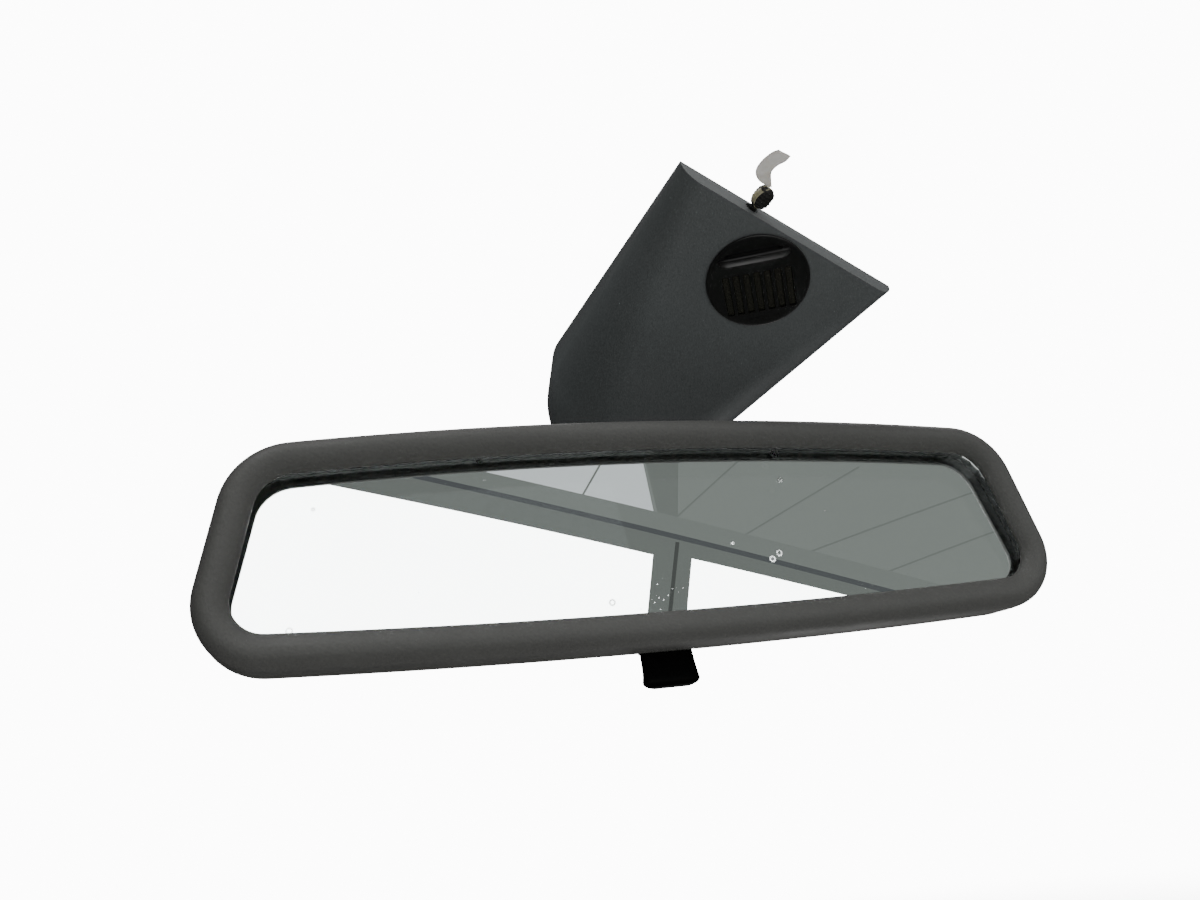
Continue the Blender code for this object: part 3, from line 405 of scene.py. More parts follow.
def block(name, low, high):
    outline = [(low[0], low[1]), (high[0], low[1]), (high[0], high[1]), (low[0], high[1])]
    return plate(name, outline, "Z", low[2], high[2])


def capsule(half_x, half_y, radius):
    """A rectangle outline with round corners."""
    steps = 6
    corners = ((1, 1, 0), (-1, 1, 90), (-1, -1, 180), (1, -1, 270))
    return [(sx * (half_x - radius) + radius * math.cos(math.radians(turn + 90 * i / steps)),
             sy * (half_y - radius) + radius * math.sin(math.radians(turn + 90 * i / steps)))
            for sx, sy, turn in corners for i in range(steps + 1)]


def spline(points, steps):
    """Points along a Catmull-Rom curve through the given ones, of any dimension."""
    knots = [Vector(p) for p in points]
    knots = [2 * knots[0] - knots[1], *knots, 2 * knots[-1] - knots[-2]]
    spans = len(points) - 1
    path = []
    for i in range(steps + 1):
        span = min(int(spans * i / steps), spans - 1)
        t = spans * i / steps - span
        a, b, c, d = knots[span:span + 4]
        path.append(0.5 * (2 * b + (c - a) * t + (2 * a - 5 * b + 4 * c - d) * t ** 2
                           + (3 * b - a - 3 * c + d) * t ** 3))
    return path


def swept(name, path, section):
    """A closed section along a path; section gives its (side, up) pairs for each step."""
    rings = []
    side = None
    for i, place in enumerate(path):
        along = (path[min(i + 1, len(path) - 1)] - path[max(i - 1, 0)]).normalized()
        if side is None:
            side = along.orthogonal().normalized()
        side = (side - along * side.dot(along)).normalized()
        up = along.cross(side)
        rings.append([place + side * a + up * b for a, b in section(i)])
    return skin(name, rings, lids=(0, len(rings) - 1))


def circle(radius, steps):
    return [(radius * math.cos(2 * math.pi * i / steps), radius * math.sin(2 * math.pi * i / steps))
            for i in range(steps)]


def carried_out(piece):
    """The piece with its modifiers applied."""
    bpy.context.view_layer.update()
    graph = bpy.context.evaluated_depsgraph_get()
    mesh = bpy.data.meshes.new_from_object(piece.evaluated_get(graph))
    piece.modifiers.clear()
    piece.data = mesh
    return piece


def combine(piece, tools, operation):
    for tool in tools:
        change = piece.modifiers.new("combine", "BOOLEAN")
        change.operation = operation
        change.solver = "EXACT"
        change.object = tool
    carried_out(piece)
    for tool in tools:
        bpy.data.objects.remove(tool, do_unlink=True)
    return piece


def cut(piece, *tools):
    return combine(piece, tools, "DIFFERENCE")


def join(piece, *tools):
    return combine(piece, tools, "UNION")


def softened(piece, width, segments, angle=32):
    """Round edges, set in the piece's own units."""
    edge = piece.modifiers.new("edge", "BEVEL")
    edge.width = width
    edge.segments = segments
    edge.limit_method = "ANGLE"
    edge.angle_limit = math.radians(angle)
    return piece


def finished(piece, place, body, paint, replaces=(), angle=40, weighted=True):
    """Carries out the modifiers, puts the piece in the part's frame and hangs it on its body."""
    carried_out(piece)
    piece.data.transform(place)
    piece.data.materials.clear()
    piece.data.materials.append(PAINTS[paint])
    piece.data.shade_smooth()
    piece.data.set_sharp_from_angle(angle=math.radians(angle))
    if weighted:
        even = piece.modifiers.new("even", "WEIGHTED_NORMAL")
        even.keep_sharp = True
    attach(piece, body)
    if replaces:
        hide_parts(*replaces)
    return piece


# ---------------------------------------------------------------- head

def fillet(corner, before, after, radius, steps):
    """Points of the arc that rounds a corner between two directions."""
    a = (before - corner).normalized()
    b = (after - corner).normalized()
    half = a.angle(b) / 2
    centre = corner + (a + b).normalized() * radius / math.sin(half)
    start = corner + a * radius / math.tan(half) - centre
    sweep = start.angle_signed(corner + b * radius / math.tan(half) - centre)
    return [centre + Matrix.Rotation(-sweep * i / steps, 2) @ start for i in range(steps + 1)]


def bowed(half_width, rise):
    """Height of a bowed long edge of the lip at a distance from the middle."""
    radius = (half_width ** 2 + rise ** 2) / (2 * rise)
    return lambda x: LIP_HALF_HEIGHT + rise - radius + math.sqrt(radius ** 2 - x ** 2)


BACK_Y = 27.6
SOCKET_RADIUS = 12.5
LIP_TOP_HALF, LIP_LOW_HALF, LIP_HALF_HEIGHT = 104.9, 114.0, 19.35
TOP_RISE, LOW_RISE = 4.57, 2.53
TOP_CORNER, LOW_CORNER = 10.5, 8.3
ARC_STEPS, CORNER_STEPS = 40, 16


def lip_outline():
    """The bezel's inner lip as (x, z) points, clockwise from the middle of the top edge."""
    top, low = bowed(LIP_TOP_HALF, TOP_RISE), bowed(LIP_LOW_HALF, LOW_RISE)
    corner_top = Vector((LIP_TOP_HALF, LIP_HALF_HEIGHT))
    corner_low = Vector((LIP_LOW_HALF, -LIP_HALF_HEIGHT))
    near_top, near_low = 0.9 * LIP_TOP_HALF, 0.9 * LIP_LOW_HALF
    upper = fillet(corner_top, Vector((near_top, top(near_top))), corner_low, TOP_CORNER, CORNER_STEPS)
    lower = fillet(corner_low, corner_top, Vector((near_low, -low(near_low))), LOW_CORNER, CORNER_STEPS)
    along_top = [upper[0].x * i / ARC_STEPS for i in range(ARC_STEPS)]
    right = [Vector((x, top(x))) for x in along_top]
    sides = [upper[-1].lerp(lower[0], i / 8) for i in range(1, 8)]
    right += upper + sides + lower
    along_low = [lower[-1].x * (ARC_STEPS - i) / ARC_STEPS for i in range(1, ARC_STEPS + 1)]
    right += [Vector((x, -low(x))) for x in along_low]
    return right + [Vector((-p.x, p.y)) for p in reversed(right[1:-1])]


LIP = lip_outline()
LIP_OUTWARD = [Vector((-a.y, a.x)).normalized()
               for a in [LIP[(i + 1) % len(LIP)] - LIP[i - 1] for i in range(len(LIP))]]


def head_ring(reach, y, shrink=0.0):
    """The lip outline moved outward by reach, then drawn in towards the middle by shrink, at depth y."""
    moved = [p + n * reach for p, n in zip(LIP, LIP_OUTWARD)]
    half_x = max(p.x for p in moved)
    half_z = max(p.y for p in moved)
    return [(p.x * (1 - shrink / half_x), y, p.y * (1 - shrink / half_z)) for p in moved]


def bezel():
    """The round frame: one cross-section carried round the lip."""
    crown = [(0.0, -0.15), (0.45, -0.95), (1.6, -2.11), (3.2, -3.0), (4.8, -3.3), (6.3, -2.9),
             (7.6, -1.78), (8.5, 0.0), (8.8, 2.3), (8.8, 6.0), (8.72, 9.3)]
    section = [(0.0, 0.6), (0.0, 0.1), *spline(crown, 40), (8.62, 9.8), (8.4, 10.0), (6.9, 10.0),
               (6.8, 3.0), (6.2, 0.6)]
    rings = [head_ring(out, y) for out, y in section]
    piece = skin("bezel_trim", [*rings, rings[0]])
    return finished(piece, HEAD, "mirror_head", "grey_shell", ["bezel"])


def rear_housing():
    """A thin shell behind the bezel, open for the ball joint and the lever."""
    hull = [(8.4, 10.3, 0), (8.62, 10.5, 0), (8.7, 10.9, 0), (8.6, 14.0, 0), (8.3, 17.5, 0.3),
            (8.3, 21.0, 2.0), (8.3, 24.0, 5.5), (8.3, 26.3, 10.5), (8.3, 27.5, 16.5),
            (8.3, BACK_Y, 19.0)]
    rings = [head_ring(reach, y, shrink) for reach, y, shrink in spline(hull, 44)]
    piece = skin("housing_shell", rings, lids=(len(rings) - 1,))
    wall = piece.modifiers.new("wall", "SOLIDIFY")
    wall.thickness = 2.0
    wall.offset = -1
    carried_out(piece)
    bore = turned("bore", [(0, -20), (SOCKET_RADIUS, -20), (SOCKET_RADIUS, 20), (0, 20)], 72)
    bore.data.transform(Matrix.Translation((0, BACK_Y, BALL.z)) @ TO_Y)
    slot = plate("slot", [(x, y + 18.5) for x, y in capsule(9.2, 5.3, 2.0)], "Z", -40, -22)
    cut(piece, bore, slot)
    softened(piece, 0.45, 2, 50)
    return finished(piece, HEAD, "mirror_head", "grey_shell", ["rear_housing"])


def lever():
    """Cam, neck and a flared finger tab with a rolled lip and round corners."""
    y, z = LEVER_PIN.y, LEVER_PIN.z
    cam = [(y + 3.4 * math.cos(a), z + 3.4 * math.sin(a))
           for a in [math.radians(-40 + 260 * i / 24) for i in range(25)]]
    piece = plate("finger_lever", [*cam, (14.2, -30.0), (16.9, -30.5)], "X", -7.6, 7.6)
    rows = [(-28.6, 13.9, 17.3, 7.5), (-31.0, 13.6, 17.2, 7.5), (-34.0, 12.9, 16.7, 7.6),
            (-36.2, 12.3, 16.4, 7.75), (-37.8, 11.95, 16.6, 7.95), (-38.9, 12.1, 16.5, 8.0),
            (-39.7, 12.8, 16.0, 7.5), (-40.15, 13.8, 15.2, 6.3)]
    rings = []
    for level, front, back, half in spline(rows, 28):
        middle, deep = (front + back) / 2, (back - front) / 2
        ring = []
        for i in range(40):
            a = 2 * math.pi * i / 40
            c, s = math.cos(a), math.sin(a)
            ring.append((half * math.copysign(abs(c) ** 0.35, c),
                         middle + deep * math.copysign(abs(s) ** 0.5, s),
                         level + 0.9 * abs(c) ** 6 * max(0.0, (-37.5 - level) / 2.7)))
        rings.append(ring)
    tab = skin("tab", rings, lids=(0, len(rings) - 1))
    join(piece, tab)
    cut(piece, plate("hole", [(y + a, z + b) for a, b in circle(1.7, 24)], "X", -12, 12))
    # the lever_black colour includes painted shade for the tab
    return finished(piece, HEAD, "lever", "lever_black", ["day_night_lever"], 50)


THREAD_PITCH = 0.5


def screw_mesh(name, head_radius, head_height, shaft_radius, length):
    """A domed screw with a cross recess and a threaded shank, seated at zero, its tip along -Z."""
    dome = [(head_radius * math.sin(a), head_height * (0.35 + 0.65 * math.cos(a)))
            for a in [math.pi / 2 * i / 8 for i in range(9)]]
    thread = []
    root = shaft_radius * 0.8
    turns = int((length - 1.2) / THREAD_PITCH)
    for i in range(turns):
        level = -0.4 - THREAD_PITCH * i
        thread += [(root, level), (shaft_radius, level - 0.2), (root, level - 0.4)]
    profile = [*dome, (head_radius, 0), (shaft_radius * 0.9, 0), *thread, (0, -length)]
    piece = turned(name, profile, 32)
    arm, width = 0.55 * head_radius, 0.13 * head_radius
    depth = head_height * 0.4
    cut(piece, block("slot", (-arm, -width, depth), (arm, width, 9)),
        block("slot", (-width, -arm, depth), (width, arm, 9)))
    return piece


def screws():
    """Four screws hold the mechanism in the housing, and three hold the arm on its base."""
    carrier_x, carrier_y, carrier_z = 23, 9.1, 16
    for number, (x, z) in enumerate(((-1, -1), (-1, 1), (1, -1), (1, 1)), 1):
        piece = screw_mesh(f"housing_screw_{number}", 2.5, 1.3, 1.15, 8.0)
        piece.data.transform(Matrix.Translation((carrier_x * x, carrier_y, carrier_z * z)) @ TO_Y)
        finished(piece, HEAD, "mirror_head", "plated_steel", [f"carrier_screw_{number}"])
    base_radius, base_y = 9.6, -9.2
    for number in (1, 2, 3):
        a = math.radians(90 + 120 * (number - 1))
        piece = screw_mesh(f"base_screw_{number}", 1.8, 1.2, 1.3, 5.6)
        place = (base_radius * math.cos(a), base_y, base_radius * math.sin(a))
        piece.data.transform(Matrix.Translation(place) @ TO_Y)
        finished(piece, PAD, "foot", "plated_steel", [f"arm_screw_{number}"])


# ---------------------------------------------------------------- foot

FOOT_HALF, NOSE_Z = 38, -88.5
TAPER = math.radians(5.25)
END_ROUND, NOSE_ROUND = 7, 21
RIM_DEPTH = 10


def foot_outline():
    """The foot's plan as (point, outward direction) pairs, from its right corner round the nose."""
    side_steps, nose_steps = 30, 36
    radius = (FOOT_HALF + NOSE_Z * math.tan(TAPER)) * math.cos(TAPER)
    sideways = Vector((math.cos(TAPER), -math.sin(TAPER)))
    nose = Vector((0, NOSE_Z))
    start, tangent = Vector((FOOT_HALF, 0)), nose + sideways * radius
    half = [(start.lerp(tangent, i / side_steps), Vector((1, 0)).lerp(sideways, i / side_steps))
            for i in range(side_steps)]
    for i in range(nose_steps + 1):
        angle = -TAPER - (math.pi / 2 - TAPER) * i / nose_steps
        out = Vector((math.cos(angle), math.sin(angle)))
        half.append((nose + out * radius, out))
    return half + [(Vector((-p.x, p.y)), Vector((-n.x, n.y))) for p, n in reversed(half[:-1])]


def foot_cover():
    """A wedge-shaped shell, open towards the windscreen, with a round-edged front face."""
    whole = foot_outline()
    rounding = [min(END_ROUND + (NOSE_ROUND - END_ROUND) * p.y / NOSE_Z, NOSE_ROUND) for p, _ in whole]
    rings = []
    for degrees in range(0, 91, 5):
        up, over = 1 - math.cos(math.radians(degrees)), 1 - math.sin(math.radians(degrees))
        rings.append([(p.x - n.x * r * over, r * up, p.y - n.y * r * over)
                      for (p, n), r in zip(whole, rounding)])
    rings.append([(p.x, RIM_DEPTH - p.y * math.tan(WEDGE), p.y) for p, _ in whole])
    piece = skin("foot_shell", rings, False, (0,))
    work = bmesh.new()
    work.from_mesh(piece.data)
    border = [e for e in work.edges if e.is_boundary and all(abs(v.co.z) < 1e-4 for v in e.verts)]
    bmesh.ops.contextual_create(work, geom=border)
    bmesh.ops.recalc_face_normals(work, faces=work.faces)
    work.to_mesh(piece.data)
    work.free()
    wall = piece.modifiers.new("wall", "SOLIDIFY")
    wall.thickness = 2.2
    wall.offset = -1
    wall.use_even_offset = True
    carried_out(piece)
    trim = block("trim", (-80, -0.4, -90), (80, 40, 110))
    trim.data.transform(PAD_IN_FOOT)
    cap_hole = plate("cap_hole", [(x, z + CAP_CENTRE.z) for x, z in circle(13.2, 96)], "Y", -10, 7)
    wire_hole = plate("wire_hole", [(x - 13.6, y + 4.5) for x, y in circle(2.1, 24)], "Z", -5, 6)
    route = arm_route()
    arm_hole = plate("arm_hole", circle(8.5, 48), "Z", -22, 16)
    arm_hole.data.transform(Matrix.Translation(route[2]) @ (route[3] - route[2]).to_track_quat("Z", "Y")
                            .to_matrix().to_4x4())
    cut(piece, trim, cap_hole, wire_hole, arm_hole)
    softened(piece, 0.5, 3, 50)
    return finished(piece, FOOT, "foot", "grey_foot", ["foot_cover"], 45)


def ball_in_foot():
    """The ball's centre and the direction of its neck, in the foot's axes."""
    turn = FOOT.inverted()
    centre = turn @ (HEAD @ BALL)
    neck = (turn @ (HEAD @ (BALL + Vector((0, 1, 0)))) - centre).normalized()
    return centre, neck


def arm_route():
    """Places along the arm, in the foot's axes, from the base to the ball."""
    centre, neck = ball_in_foot()
    places = [(0, 24.6, -72.8), (0, 17, -83), (0.4, 3, -95), (0.9, -11, -104), (1.8, -25, -107.5),
              (3.0, -37, -104.5)]
    return [Vector(p) for p in places] + [centre + neck * 14, centre + neck * 3]


def mirror_arm():
    """A cranked rod from a flanged base to the ball, slimmer at its neck."""
    centre, _ = ball_in_foot()
    path = spline(arm_route(), 90)

    def section(i):
        slim = min(max((20 - (path[i] - centre).length) / 9, 0.0), 1.0)
        return circle(4.5 - slim * slim * (3 - 2 * slim), 36)

    piece = swept("cranked_arm", path, section)
    ball = turned("ball", [(6.5 * math.sin(math.pi * i / 40), 6.5 * math.cos(math.pi * i / 40))
                           for i in range(41)], 64)
    ball.data.transform(Matrix.Translation(centre))
    base = turned("base", [(0, 13.5), (5.6, 13.5), (6.6, 13.1), (7.0, 12.3), (7.3, 9.6), (8.2, 8.9),
                           (11.6, 8.9), (12, 8.5), (12, 5.6), (0, 5.6)], 72)
    base.data.transform(PAD_IN_FOOT @ Matrix.Rotation(math.pi / 2, 4, "X"))
    join(piece, ball, base)
    return finished(piece, FOOT, "foot", "arm_coating", ["mirror_arm"], 40)


def board_parts():
    """Small chips and passives soldered on the sensor's board."""
    chips = [((-7.5, 5.2, -37.9), (-4.6, 5.9, -36.9)), ((3.0, 5.2, -44.4), (7.2, 6.6, -40.8)),
             ((3.4, 5.2, -39.4), (4.6, 5.8, -38.4)), ((6.0, 5.2, -39.4), (7.2, 5.8, -38.4)),
             ((-8.4, 5.2, -44.6), (-7.2, 5.8, -43.4)), ((-8.4, 5.2, -42.0), (-7.2, 5.8, -40.8))]
    piece = None
    for low, high in chips:
        one = block("board_chips", low, high)
        piece = one if piece is None else join(piece, one)
    softened(piece, 0.12, 2)
    return finished(piece, FOOT, "foot", "black_plastic")


# ---------------------------------------------------------------- vent cap and label

SLOT_SHIFTS = [(i - 3) * 3.08 for i in range(7)]
SLOT_MIDDLE = -3.2
BAR_HEIGHT = 8.9
CRESCENT_RADIUS = 13.1


def vent_cap():
    """A domed-edged disc with a grip bar, a crescent recess above it and seven slots below."""
    rim = [(13.2, 1.0), (13.9, 1.0), (14.4, 0.97), (14.85, 0.88), (15.15, 0.72), (15.3, 0.5)]
    profile = [(0, 1.0), (9.0, 1.0), *spline(rim, 18), (15.3, 0.3), (12.8, 0.3), (12.8, -2.8),
               (11.8, -2.8), (11.8, -0.3), (9.0, -0.3), (0, -0.3)]
    piece = turned("twist_cap", profile, 128)
    start = math.asin((BAR_HEIGHT + 1.0) / CRESCENT_RADIUS)
    angles = [start + (math.pi - 2 * start) * i / 32 for i in range(33)]
    crescent = [(CRESCENT_RADIUS * math.cos(a), CRESCENT_RADIUS * math.sin(a)) for a in angles]
    tools = [plate("crescent", crescent, "Z", 0.15, 4)]
    for shift in SLOT_SHIFTS:
        outline = [(x + shift, y + SLOT_MIDDLE) for x, y in capsule(1.05, 6.7, 0.5)]
        tools.append(plate("slot", outline, "Z", -0.4, 4))
    tools.append(block("line", (-5.2, -12.0, 0.86), (5.2, -11.8, 3)))
    tools.append(plate("mark", [(x + 0.4, y + 11.2) for x, y in circle(0.4, 20)], "Z", 0.15, 3))
    tools.append(plate("mark", [(x, y - 12.7) for x, y in circle(0.3, 20)], "Z", 0.8, 3))
    cut(piece, *tools)
    hump = [(1.0, -0.3), (0.95, 0.55), (0.6, 1.1), (0.0, 1.3), (-0.9, 1.05), (-1.8, 0.6), (-2.5, 0.2),
            (-2.8, -0.3)]
    ridge = spline(hump, 28)
    rings = []
    for x, rise in zip((-10.6, -10.3, -9.6, -8, -4, 0, 4, 8, 9.6, 10.3, 10.6),
                       (0.3, 0.6, 0.85, 0.97, 1, 1, 1, 0.97, 0.85, 0.6, 0.3)):
        rings.append([(x, BAR_HEIGHT + a * rise, 0.65 + b * rise) for a, b in ridge])
    join(piece, skin("bar", rings, lids=(0, len(rings) - 1)))
    softened(piece, 0.22, 3, 38)
    return finished(piece, CAP, "vent_cap", "vent_black", ["vent_cap"], 40)


def filter_foam():
    """The foam disc behind the slots, uneven on its face, which swells up into each slot."""
    profile = [(0.45 * i, -0.72) for i in range(24)]
    profile += [(11.1, -0.75), (11.4, -1.0), (11.4, -2.1), (11.1, -2.3), (0, -2.3)]
    piece = turned("filter_pad", profile, 96)
    for vertex in piece.data.vertices:
        if vertex.co.z > -1.0 and vertex.co.xy.length < 11.0:
            vertex.co.z += 0.14 * noise.noise(vertex.co * 2.1) + 0.08 * noise.noise(vertex.co * 5.3)
    ridges = []
    top, low, stem_reach = 3.4, -9.8, 11.1
    for shift in SLOT_SHIFTS:
        far = max(low, -math.sqrt(stem_reach ** 2 - (abs(shift) + 1) ** 2))
        stem = [(x + shift, y + (top + far) / 2) for x, y in capsule(1.0, (top - far) / 2, 0.45)]
        ridges.append(plate("stem", stem, "Z", -1.2, 0.4))
        rings = []
        for half_x, half_y, level in ((1.0, 6.6, 0.32), (0.95, 6.5, 0.42), (0.7, 6.25, 0.5)):
            rings.append([(x + shift, y + SLOT_MIDDLE, level) for x, y in capsule(half_x, half_y, 0.45)])
        ridges.append(skin("crest", rings, lids=(0, 2)))
    join(piece, *ridges)
    finished(piece, CAP, "vent_cap", "filter_foam", ["filter_foam"], 80, False)


KNOT = Vector((-13.6, 3.2, 4.6))


def harness_knot():
    """The harness end folded back and wound with tape."""
    steps, rows = 72, 44
    rings = []
    for row in range(rows + 1):
        level = 3.2 - 6.4 * row / rows
        body = 2.75 * math.sqrt(max(1 - abs(level / 3.35) ** 3.2, 0.02))
        ring = []
        for i in range(steps):
            a = 2 * math.pi * i / steps
            wound = 0.12 * math.sin(2 * math.pi * (level / 0.95 + i / steps))
            lobes = 0.16 * math.cos(3 * a + 0.5)
            lumps = 0.12 * noise.noise(Vector((math.cos(a), math.sin(a), level)))
            reach = body + wound + (lobes + lumps)
            ring.append((KNOT.x + reach * math.cos(a), KNOT.y + 0.96 * reach * math.sin(a),
                         KNOT.z + level))
        rings.append(ring)
    piece = skin("taped_knot", rings, lids=(0, rows))
    return finished(piece, FOOT, "foot", "harness_tape", ["harness_knot"], 60)


def band_loop(radius, axis, centre, turns, rise):
    """Points of a rising loop about an axis, each with its outward direction and the axis."""
    steps = 72
    axis = axis.normalized()
    side = axis.orthogonal().normalized()
    up = axis.cross(side)
    places = []
    for i in range(steps + 1):
        a = 2 * math.pi * turns * i / steps
        out = side * math.cos(a) + up * math.sin(a)
        places.append((centre + out * radius + axis * rise * (i / steps - 0.5), out, axis))
    return places


def label_strap():
    """A clear flat strip wound aslant round the bundle."""
    rings = []
    aslant = FOOT_TURN.transposed() @ Vector((-0.33, 0.23, 1.02))
    half, thick = 0.85, 0.14
    section = [(-half, -thick), (half, -thick), (half + 0.1, 0), (half, thick), (0, thick * 0.6),
               (-half, thick), (-half - 0.1, 0)]
    for place, out, axis in band_loop(3.15, aslant, KNOT, 1.35, 0.9):
        rings.append([place + axis * a + out * b for a, b in section])
    piece = skin("clear_band", rings, lids=(0, len(rings) - 1))
    return finished(piece, FOOT, "foot", "clear_strap", ["label_strap"], 60)


def label_flag():
    """A blank paper strip, pinched at the bundle, curled and creased."""
    left = spline([(-0.9, 0.0), (-3.8, 1.0), (-5.7, 3.7), (-5.4, 7.3), (-4.0, 10.6), (-2.6, 12.2)], 40)
    right = spline([(0.7, 0.0), (-0.4, 2.2), (-1.4, 4.8), (-0.7, 7.2), (0.8, 9.2), (1.4, 11.0)], 40)
    foot = KNOT + Vector((0, 0, 3.4))
    lean = Matrix.Rotation(math.radians(14), 3, "X") @ Matrix.Rotation(math.radians(-14), 3, "Y")
    rows, columns = 40, 10
    work = bmesh.new()
    grid = []
    for i in range(rows + 1):
        row = []
        for k in range(columns + 1):
            share = k / columns
            a, b = left[i].lerp(right[i], share)
            curl = 0.55 * math.cos(math.pi * share) * (i / rows) + 0.5 * math.sin(2.4 * i / rows) * share
            fold = 0.22 * math.exp(-((i / rows - 0.34) / 0.05) ** 2)
            row.append(work.verts.new(foot + lean @ Vector((a, -curl - fold + 0.3, b))))
        grid.append(row)
    for i in range(rows):
        for k in range(columns):
            work.faces.new((grid[i][k], grid[i + 1][k], grid[i + 1][k + 1], grid[i][k + 1]))
    piece = from_bmesh("paper_flag", work)
    wall = piece.modifiers.new("wall", "SOLIDIFY")
    wall.thickness = 0.16
    wall.offset = 0
    return finished(piece, FOOT, "foot", "label_paper", ["label_flag"], 60, False)


# ---------------------------------------------------------------- carried-over nodes

def carry_over():
    """Paints and soft edges for the CAD nodes that stay as they are."""
    slots = {row["node"]: row["material_slot"] for row in frame["record"]["subparts"]}
    for name, node in NODES.items():
        if node.hide_render:
            continue
        node.data.materials.clear()
        node.data.materials.append(PAINTS[slots[name]])
        node.data.shade_smooth()
        softened(node, 0.18 * MM, 2, 40)
        even = node.modifiers.new("even", "WEIGHTED_NORMAL")
        even.keep_sharp = True


# ---------------------------------------------------------------- stage

def stage_paint(name, colour, strength):
    """A glow that only reaches what is seen through the mirror's glass."""
    made = bpy.data.materials.new(name)
    made.use_nodes = True
    nodes = made.node_tree.nodes
    links = made.node_tree.links
    glow = nodes.new("ShaderNodeEmission")
    glow.inputs["Color"].default_value = (*colour, 1)
    path = nodes.new("ShaderNodeLightPath")
    within = nodes.new("ShaderNodeMapRange")
    within.inputs["From Max"].default_value = 0.5
    within.inputs["To Max"].default_value = strength
    links.new(path.outputs["Transmission Depth"], within.inputs["Value"])
    links.new(within.outputs["Result"], glow.inputs["Strength"])
    links.new(glow.outputs[0], nodes["Material Output"].inputs["Surface"])
    return made


WALL_DISTANCE = 1.2
WALL_TURN = Matrix.Rotation(math.radians(20.37), 4, "Z") @ Matrix.Rotation(math.radians(-24.07), 4, "X")


def card(name, outline, depth, colour, strength):
    """A flat card of the room that the mirror looks into, its outline in metres to the left and up."""
    work = bmesh.new()
    work.faces.new([work.verts.new((-a, -WALL_DISTANCE - depth, b)) for a, b in outline])
    piece = from_bmesh(name, work)
    piece.data.transform(Matrix.Translation(HEAD.translation) @ WALL_TURN)
    piece.data.materials.append(stage_paint(name, colour, strength))
    piece.visible_camera = False
    piece.visible_diffuse = False
    piece.visible_shadow = False


def strip(name, start, end, width, depth, colour, strength):
    """A straight band between two places of the room's wall."""
    a, b = Vector(start), Vector(end)
    side = Vector((b.y - a.y, a.x - b.x)).normalized() * width / 2
    card(name, [a - side, b - side, b + side, a + side], depth, colour, strength)


def room():
    """A window under a pale boarded ceiling, beyond the driver."""
    grey = (0.94, 1.0, 0.95)
    card("frame", [(1.1, -0.6), (1.1, 0.53), (0.337, 0.184), (-0.328, -0.116), (-1.0, -0.42),
                   (-1.0, -0.6)], -0.01, grey, 0.20)
    card("ceiling", [(-1.0, -0.5), (-0.028, -0.5), (-0.028, 0.7), (-1.0, 0.7)], 0.03, grey, 0.27)
    card("ceiling_lit", [(-0.028, -0.5), (1.1, -0.5), (1.1, 0.7), (-0.028, 0.7)], 0.03,
         (0.94, 0.97, 1.0), 0.88)
    card("pillar", [(-0.028, 0.3), (-0.12, 0.3), (-0.056, 0.009), (-0.034, 0.015)], 0.01, grey, 0.21)
    card("window_left", [(0.76, -0.14), (0.76, 0.325), (0.472, 0.199), (-0.012, -0.012), (0.027, -0.14)],
         -0.02, (1, 1, 1), 14)
    card("window_right", [(-0.069, -0.028), (-0.035, -0.14), (-0.332, -0.14), (-0.288, -0.122)],
         -0.02, (1, 1, 1), 14)
    strip("ceiling_shade", (0.5, 0.275), (-0.7, -0.266), 0.034, 0.0, grey, 0.24)
    # painted shadow: a thin dark strip along the ceiling's edge, the core of the shadow line above the window
    # frame
    strip("ceiling_shadow_line", (0.42, 0.223), (-0.6, -0.237), 0.008, -0.012, (0.9, 0.95, 1.0), 0.11)
    strip("mullion_edge", (-0.053, 0.001), (-0.008, -0.14), 0.006, -0.015, grey, 0.09)
    gaps = [((-0.132, -0.017), (-0.36, 0.075)), ((-0.22, -0.055), (-0.58, 0.02)),
            ((-0.33, -0.105), (-0.60, -0.045)), ((-0.06, 0.04), (-0.20, 0.13)),
            ((0.10, 0.075), (0.02, 0.17)), ((0.24, 0.14), (0.19, 0.22))]
    for number, (start, end) in enumerate(gaps):
        strip(f"board_gap_{number}", start, end, 0.003, 0.02, grey, 0.215)


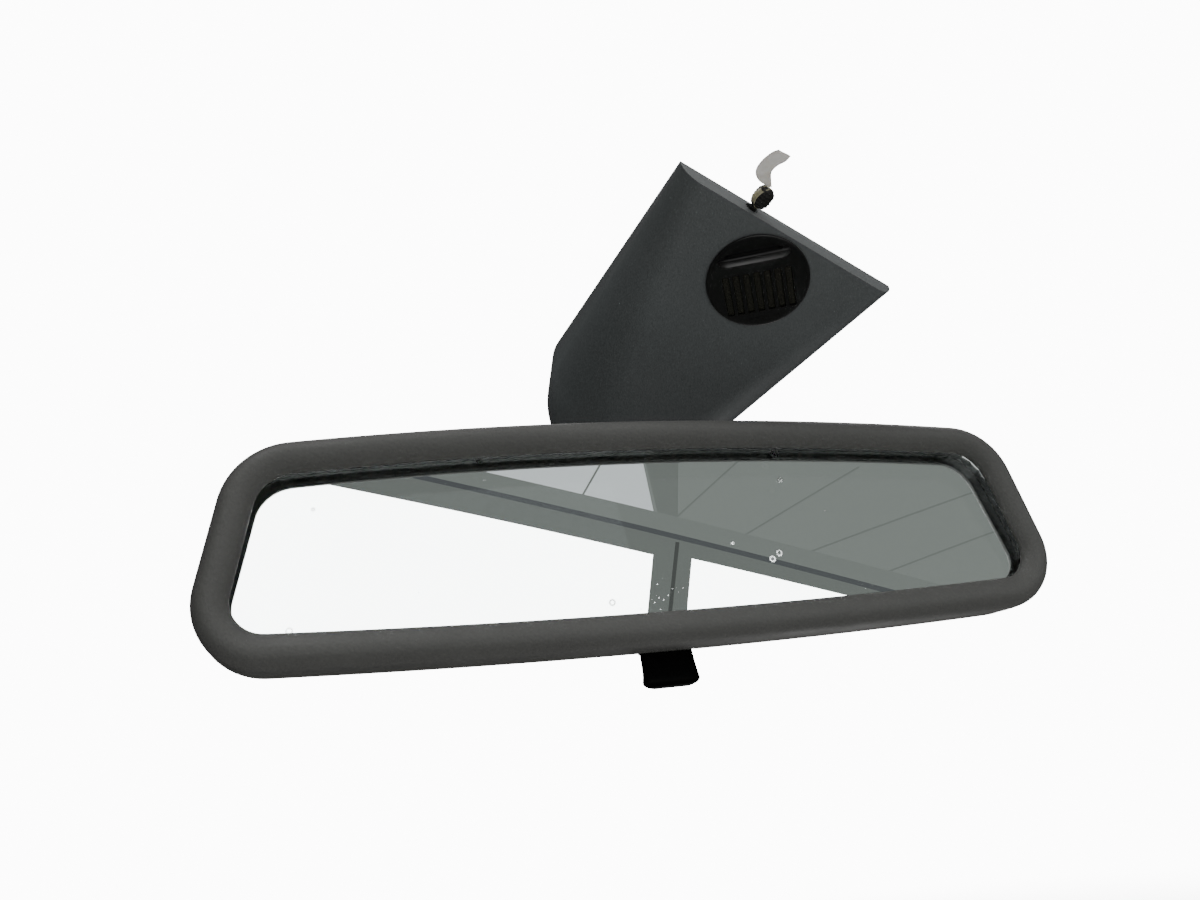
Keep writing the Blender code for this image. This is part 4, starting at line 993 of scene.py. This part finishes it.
def floor():
    """A pale round floor that fades out at its edge."""
    work = bmesh.new()
    bmesh.ops.create_circle(work, cap_ends=True, segments=96, radius=1.2)
    piece = from_bmesh("floor", work)
    piece.location = (0, 0, -0.32)
    piece.visible_glossy = False
    made = bpy.data.materials.new("floor")
    made.use_nodes = True
    nodes, links = made.node_tree.nodes, made.node_tree.links
    shader = nodes["Principled BSDF"]
    shader.inputs["Base Color"].default_value = (0.86, 0.86, 0.85, 1)
    shader.inputs["Roughness"].default_value = 0.9
    coord = nodes.new("ShaderNodeTexCoord")
    length = nodes.new("ShaderNodeVectorMath")
    length.operation = "LENGTH"
    links.new(coord.outputs["Object"], length.inputs[0])
    fade = nodes.new("ShaderNodeMapRange")
    fade.inputs["From Min"].default_value = 0.5
    fade.inputs["From Max"].default_value = 1.15
    fade.inputs["To Min"].default_value = 0.12
    fade.interpolation_type = "SMOOTHSTEP"
    links.new(length.outputs["Value"], fade.inputs["Value"])
    clear = nodes.new("ShaderNodeBsdfTransparent")
    mix = nodes.new("ShaderNodeMixShader")
    links.new(fade.outputs["Result"], mix.inputs[0])
    links.new(shader.outputs[0], mix.inputs[1])
    links.new(clear.outputs[0], mix.inputs[2])
    links.new(mix.outputs[0], nodes["Material Output"].inputs["Surface"])
    piece.data.materials.append(made)


# ---------------------------------------------------------------- build

bezel()
rear_housing()
lever()
screws()
foot_cover()
mirror_arm()
board_parts()
vent_cap()
filter_foam()
harness_knot()
label_strap()
label_flag()
carry_over()
room()
floor()
camera()
world_light(12.0, 0.5, 0.04)
area_light("key", (-0.3, -0.45, 0.85), (0, 0, -0.07), (0.7, 0.7), 4.5)
area_light("side", (0.8, -1.2, 0.62), (0, 0, -0.07), (1.1, 1.1), 6.0)
area_light("low", (-0.1, -0.75, -0.2), (0, 0, -0.07), (0.7, 0.4), 0.8)
area_light("under", (0.16, 0.19, -0.28), (0.01, -0.06, -0.01), (0.14, 0.14), 0.11)
area_light("back", (0.5, 0.6, 0.7), (0, 0, -0.05), (0.9, 0.9), 6.0)
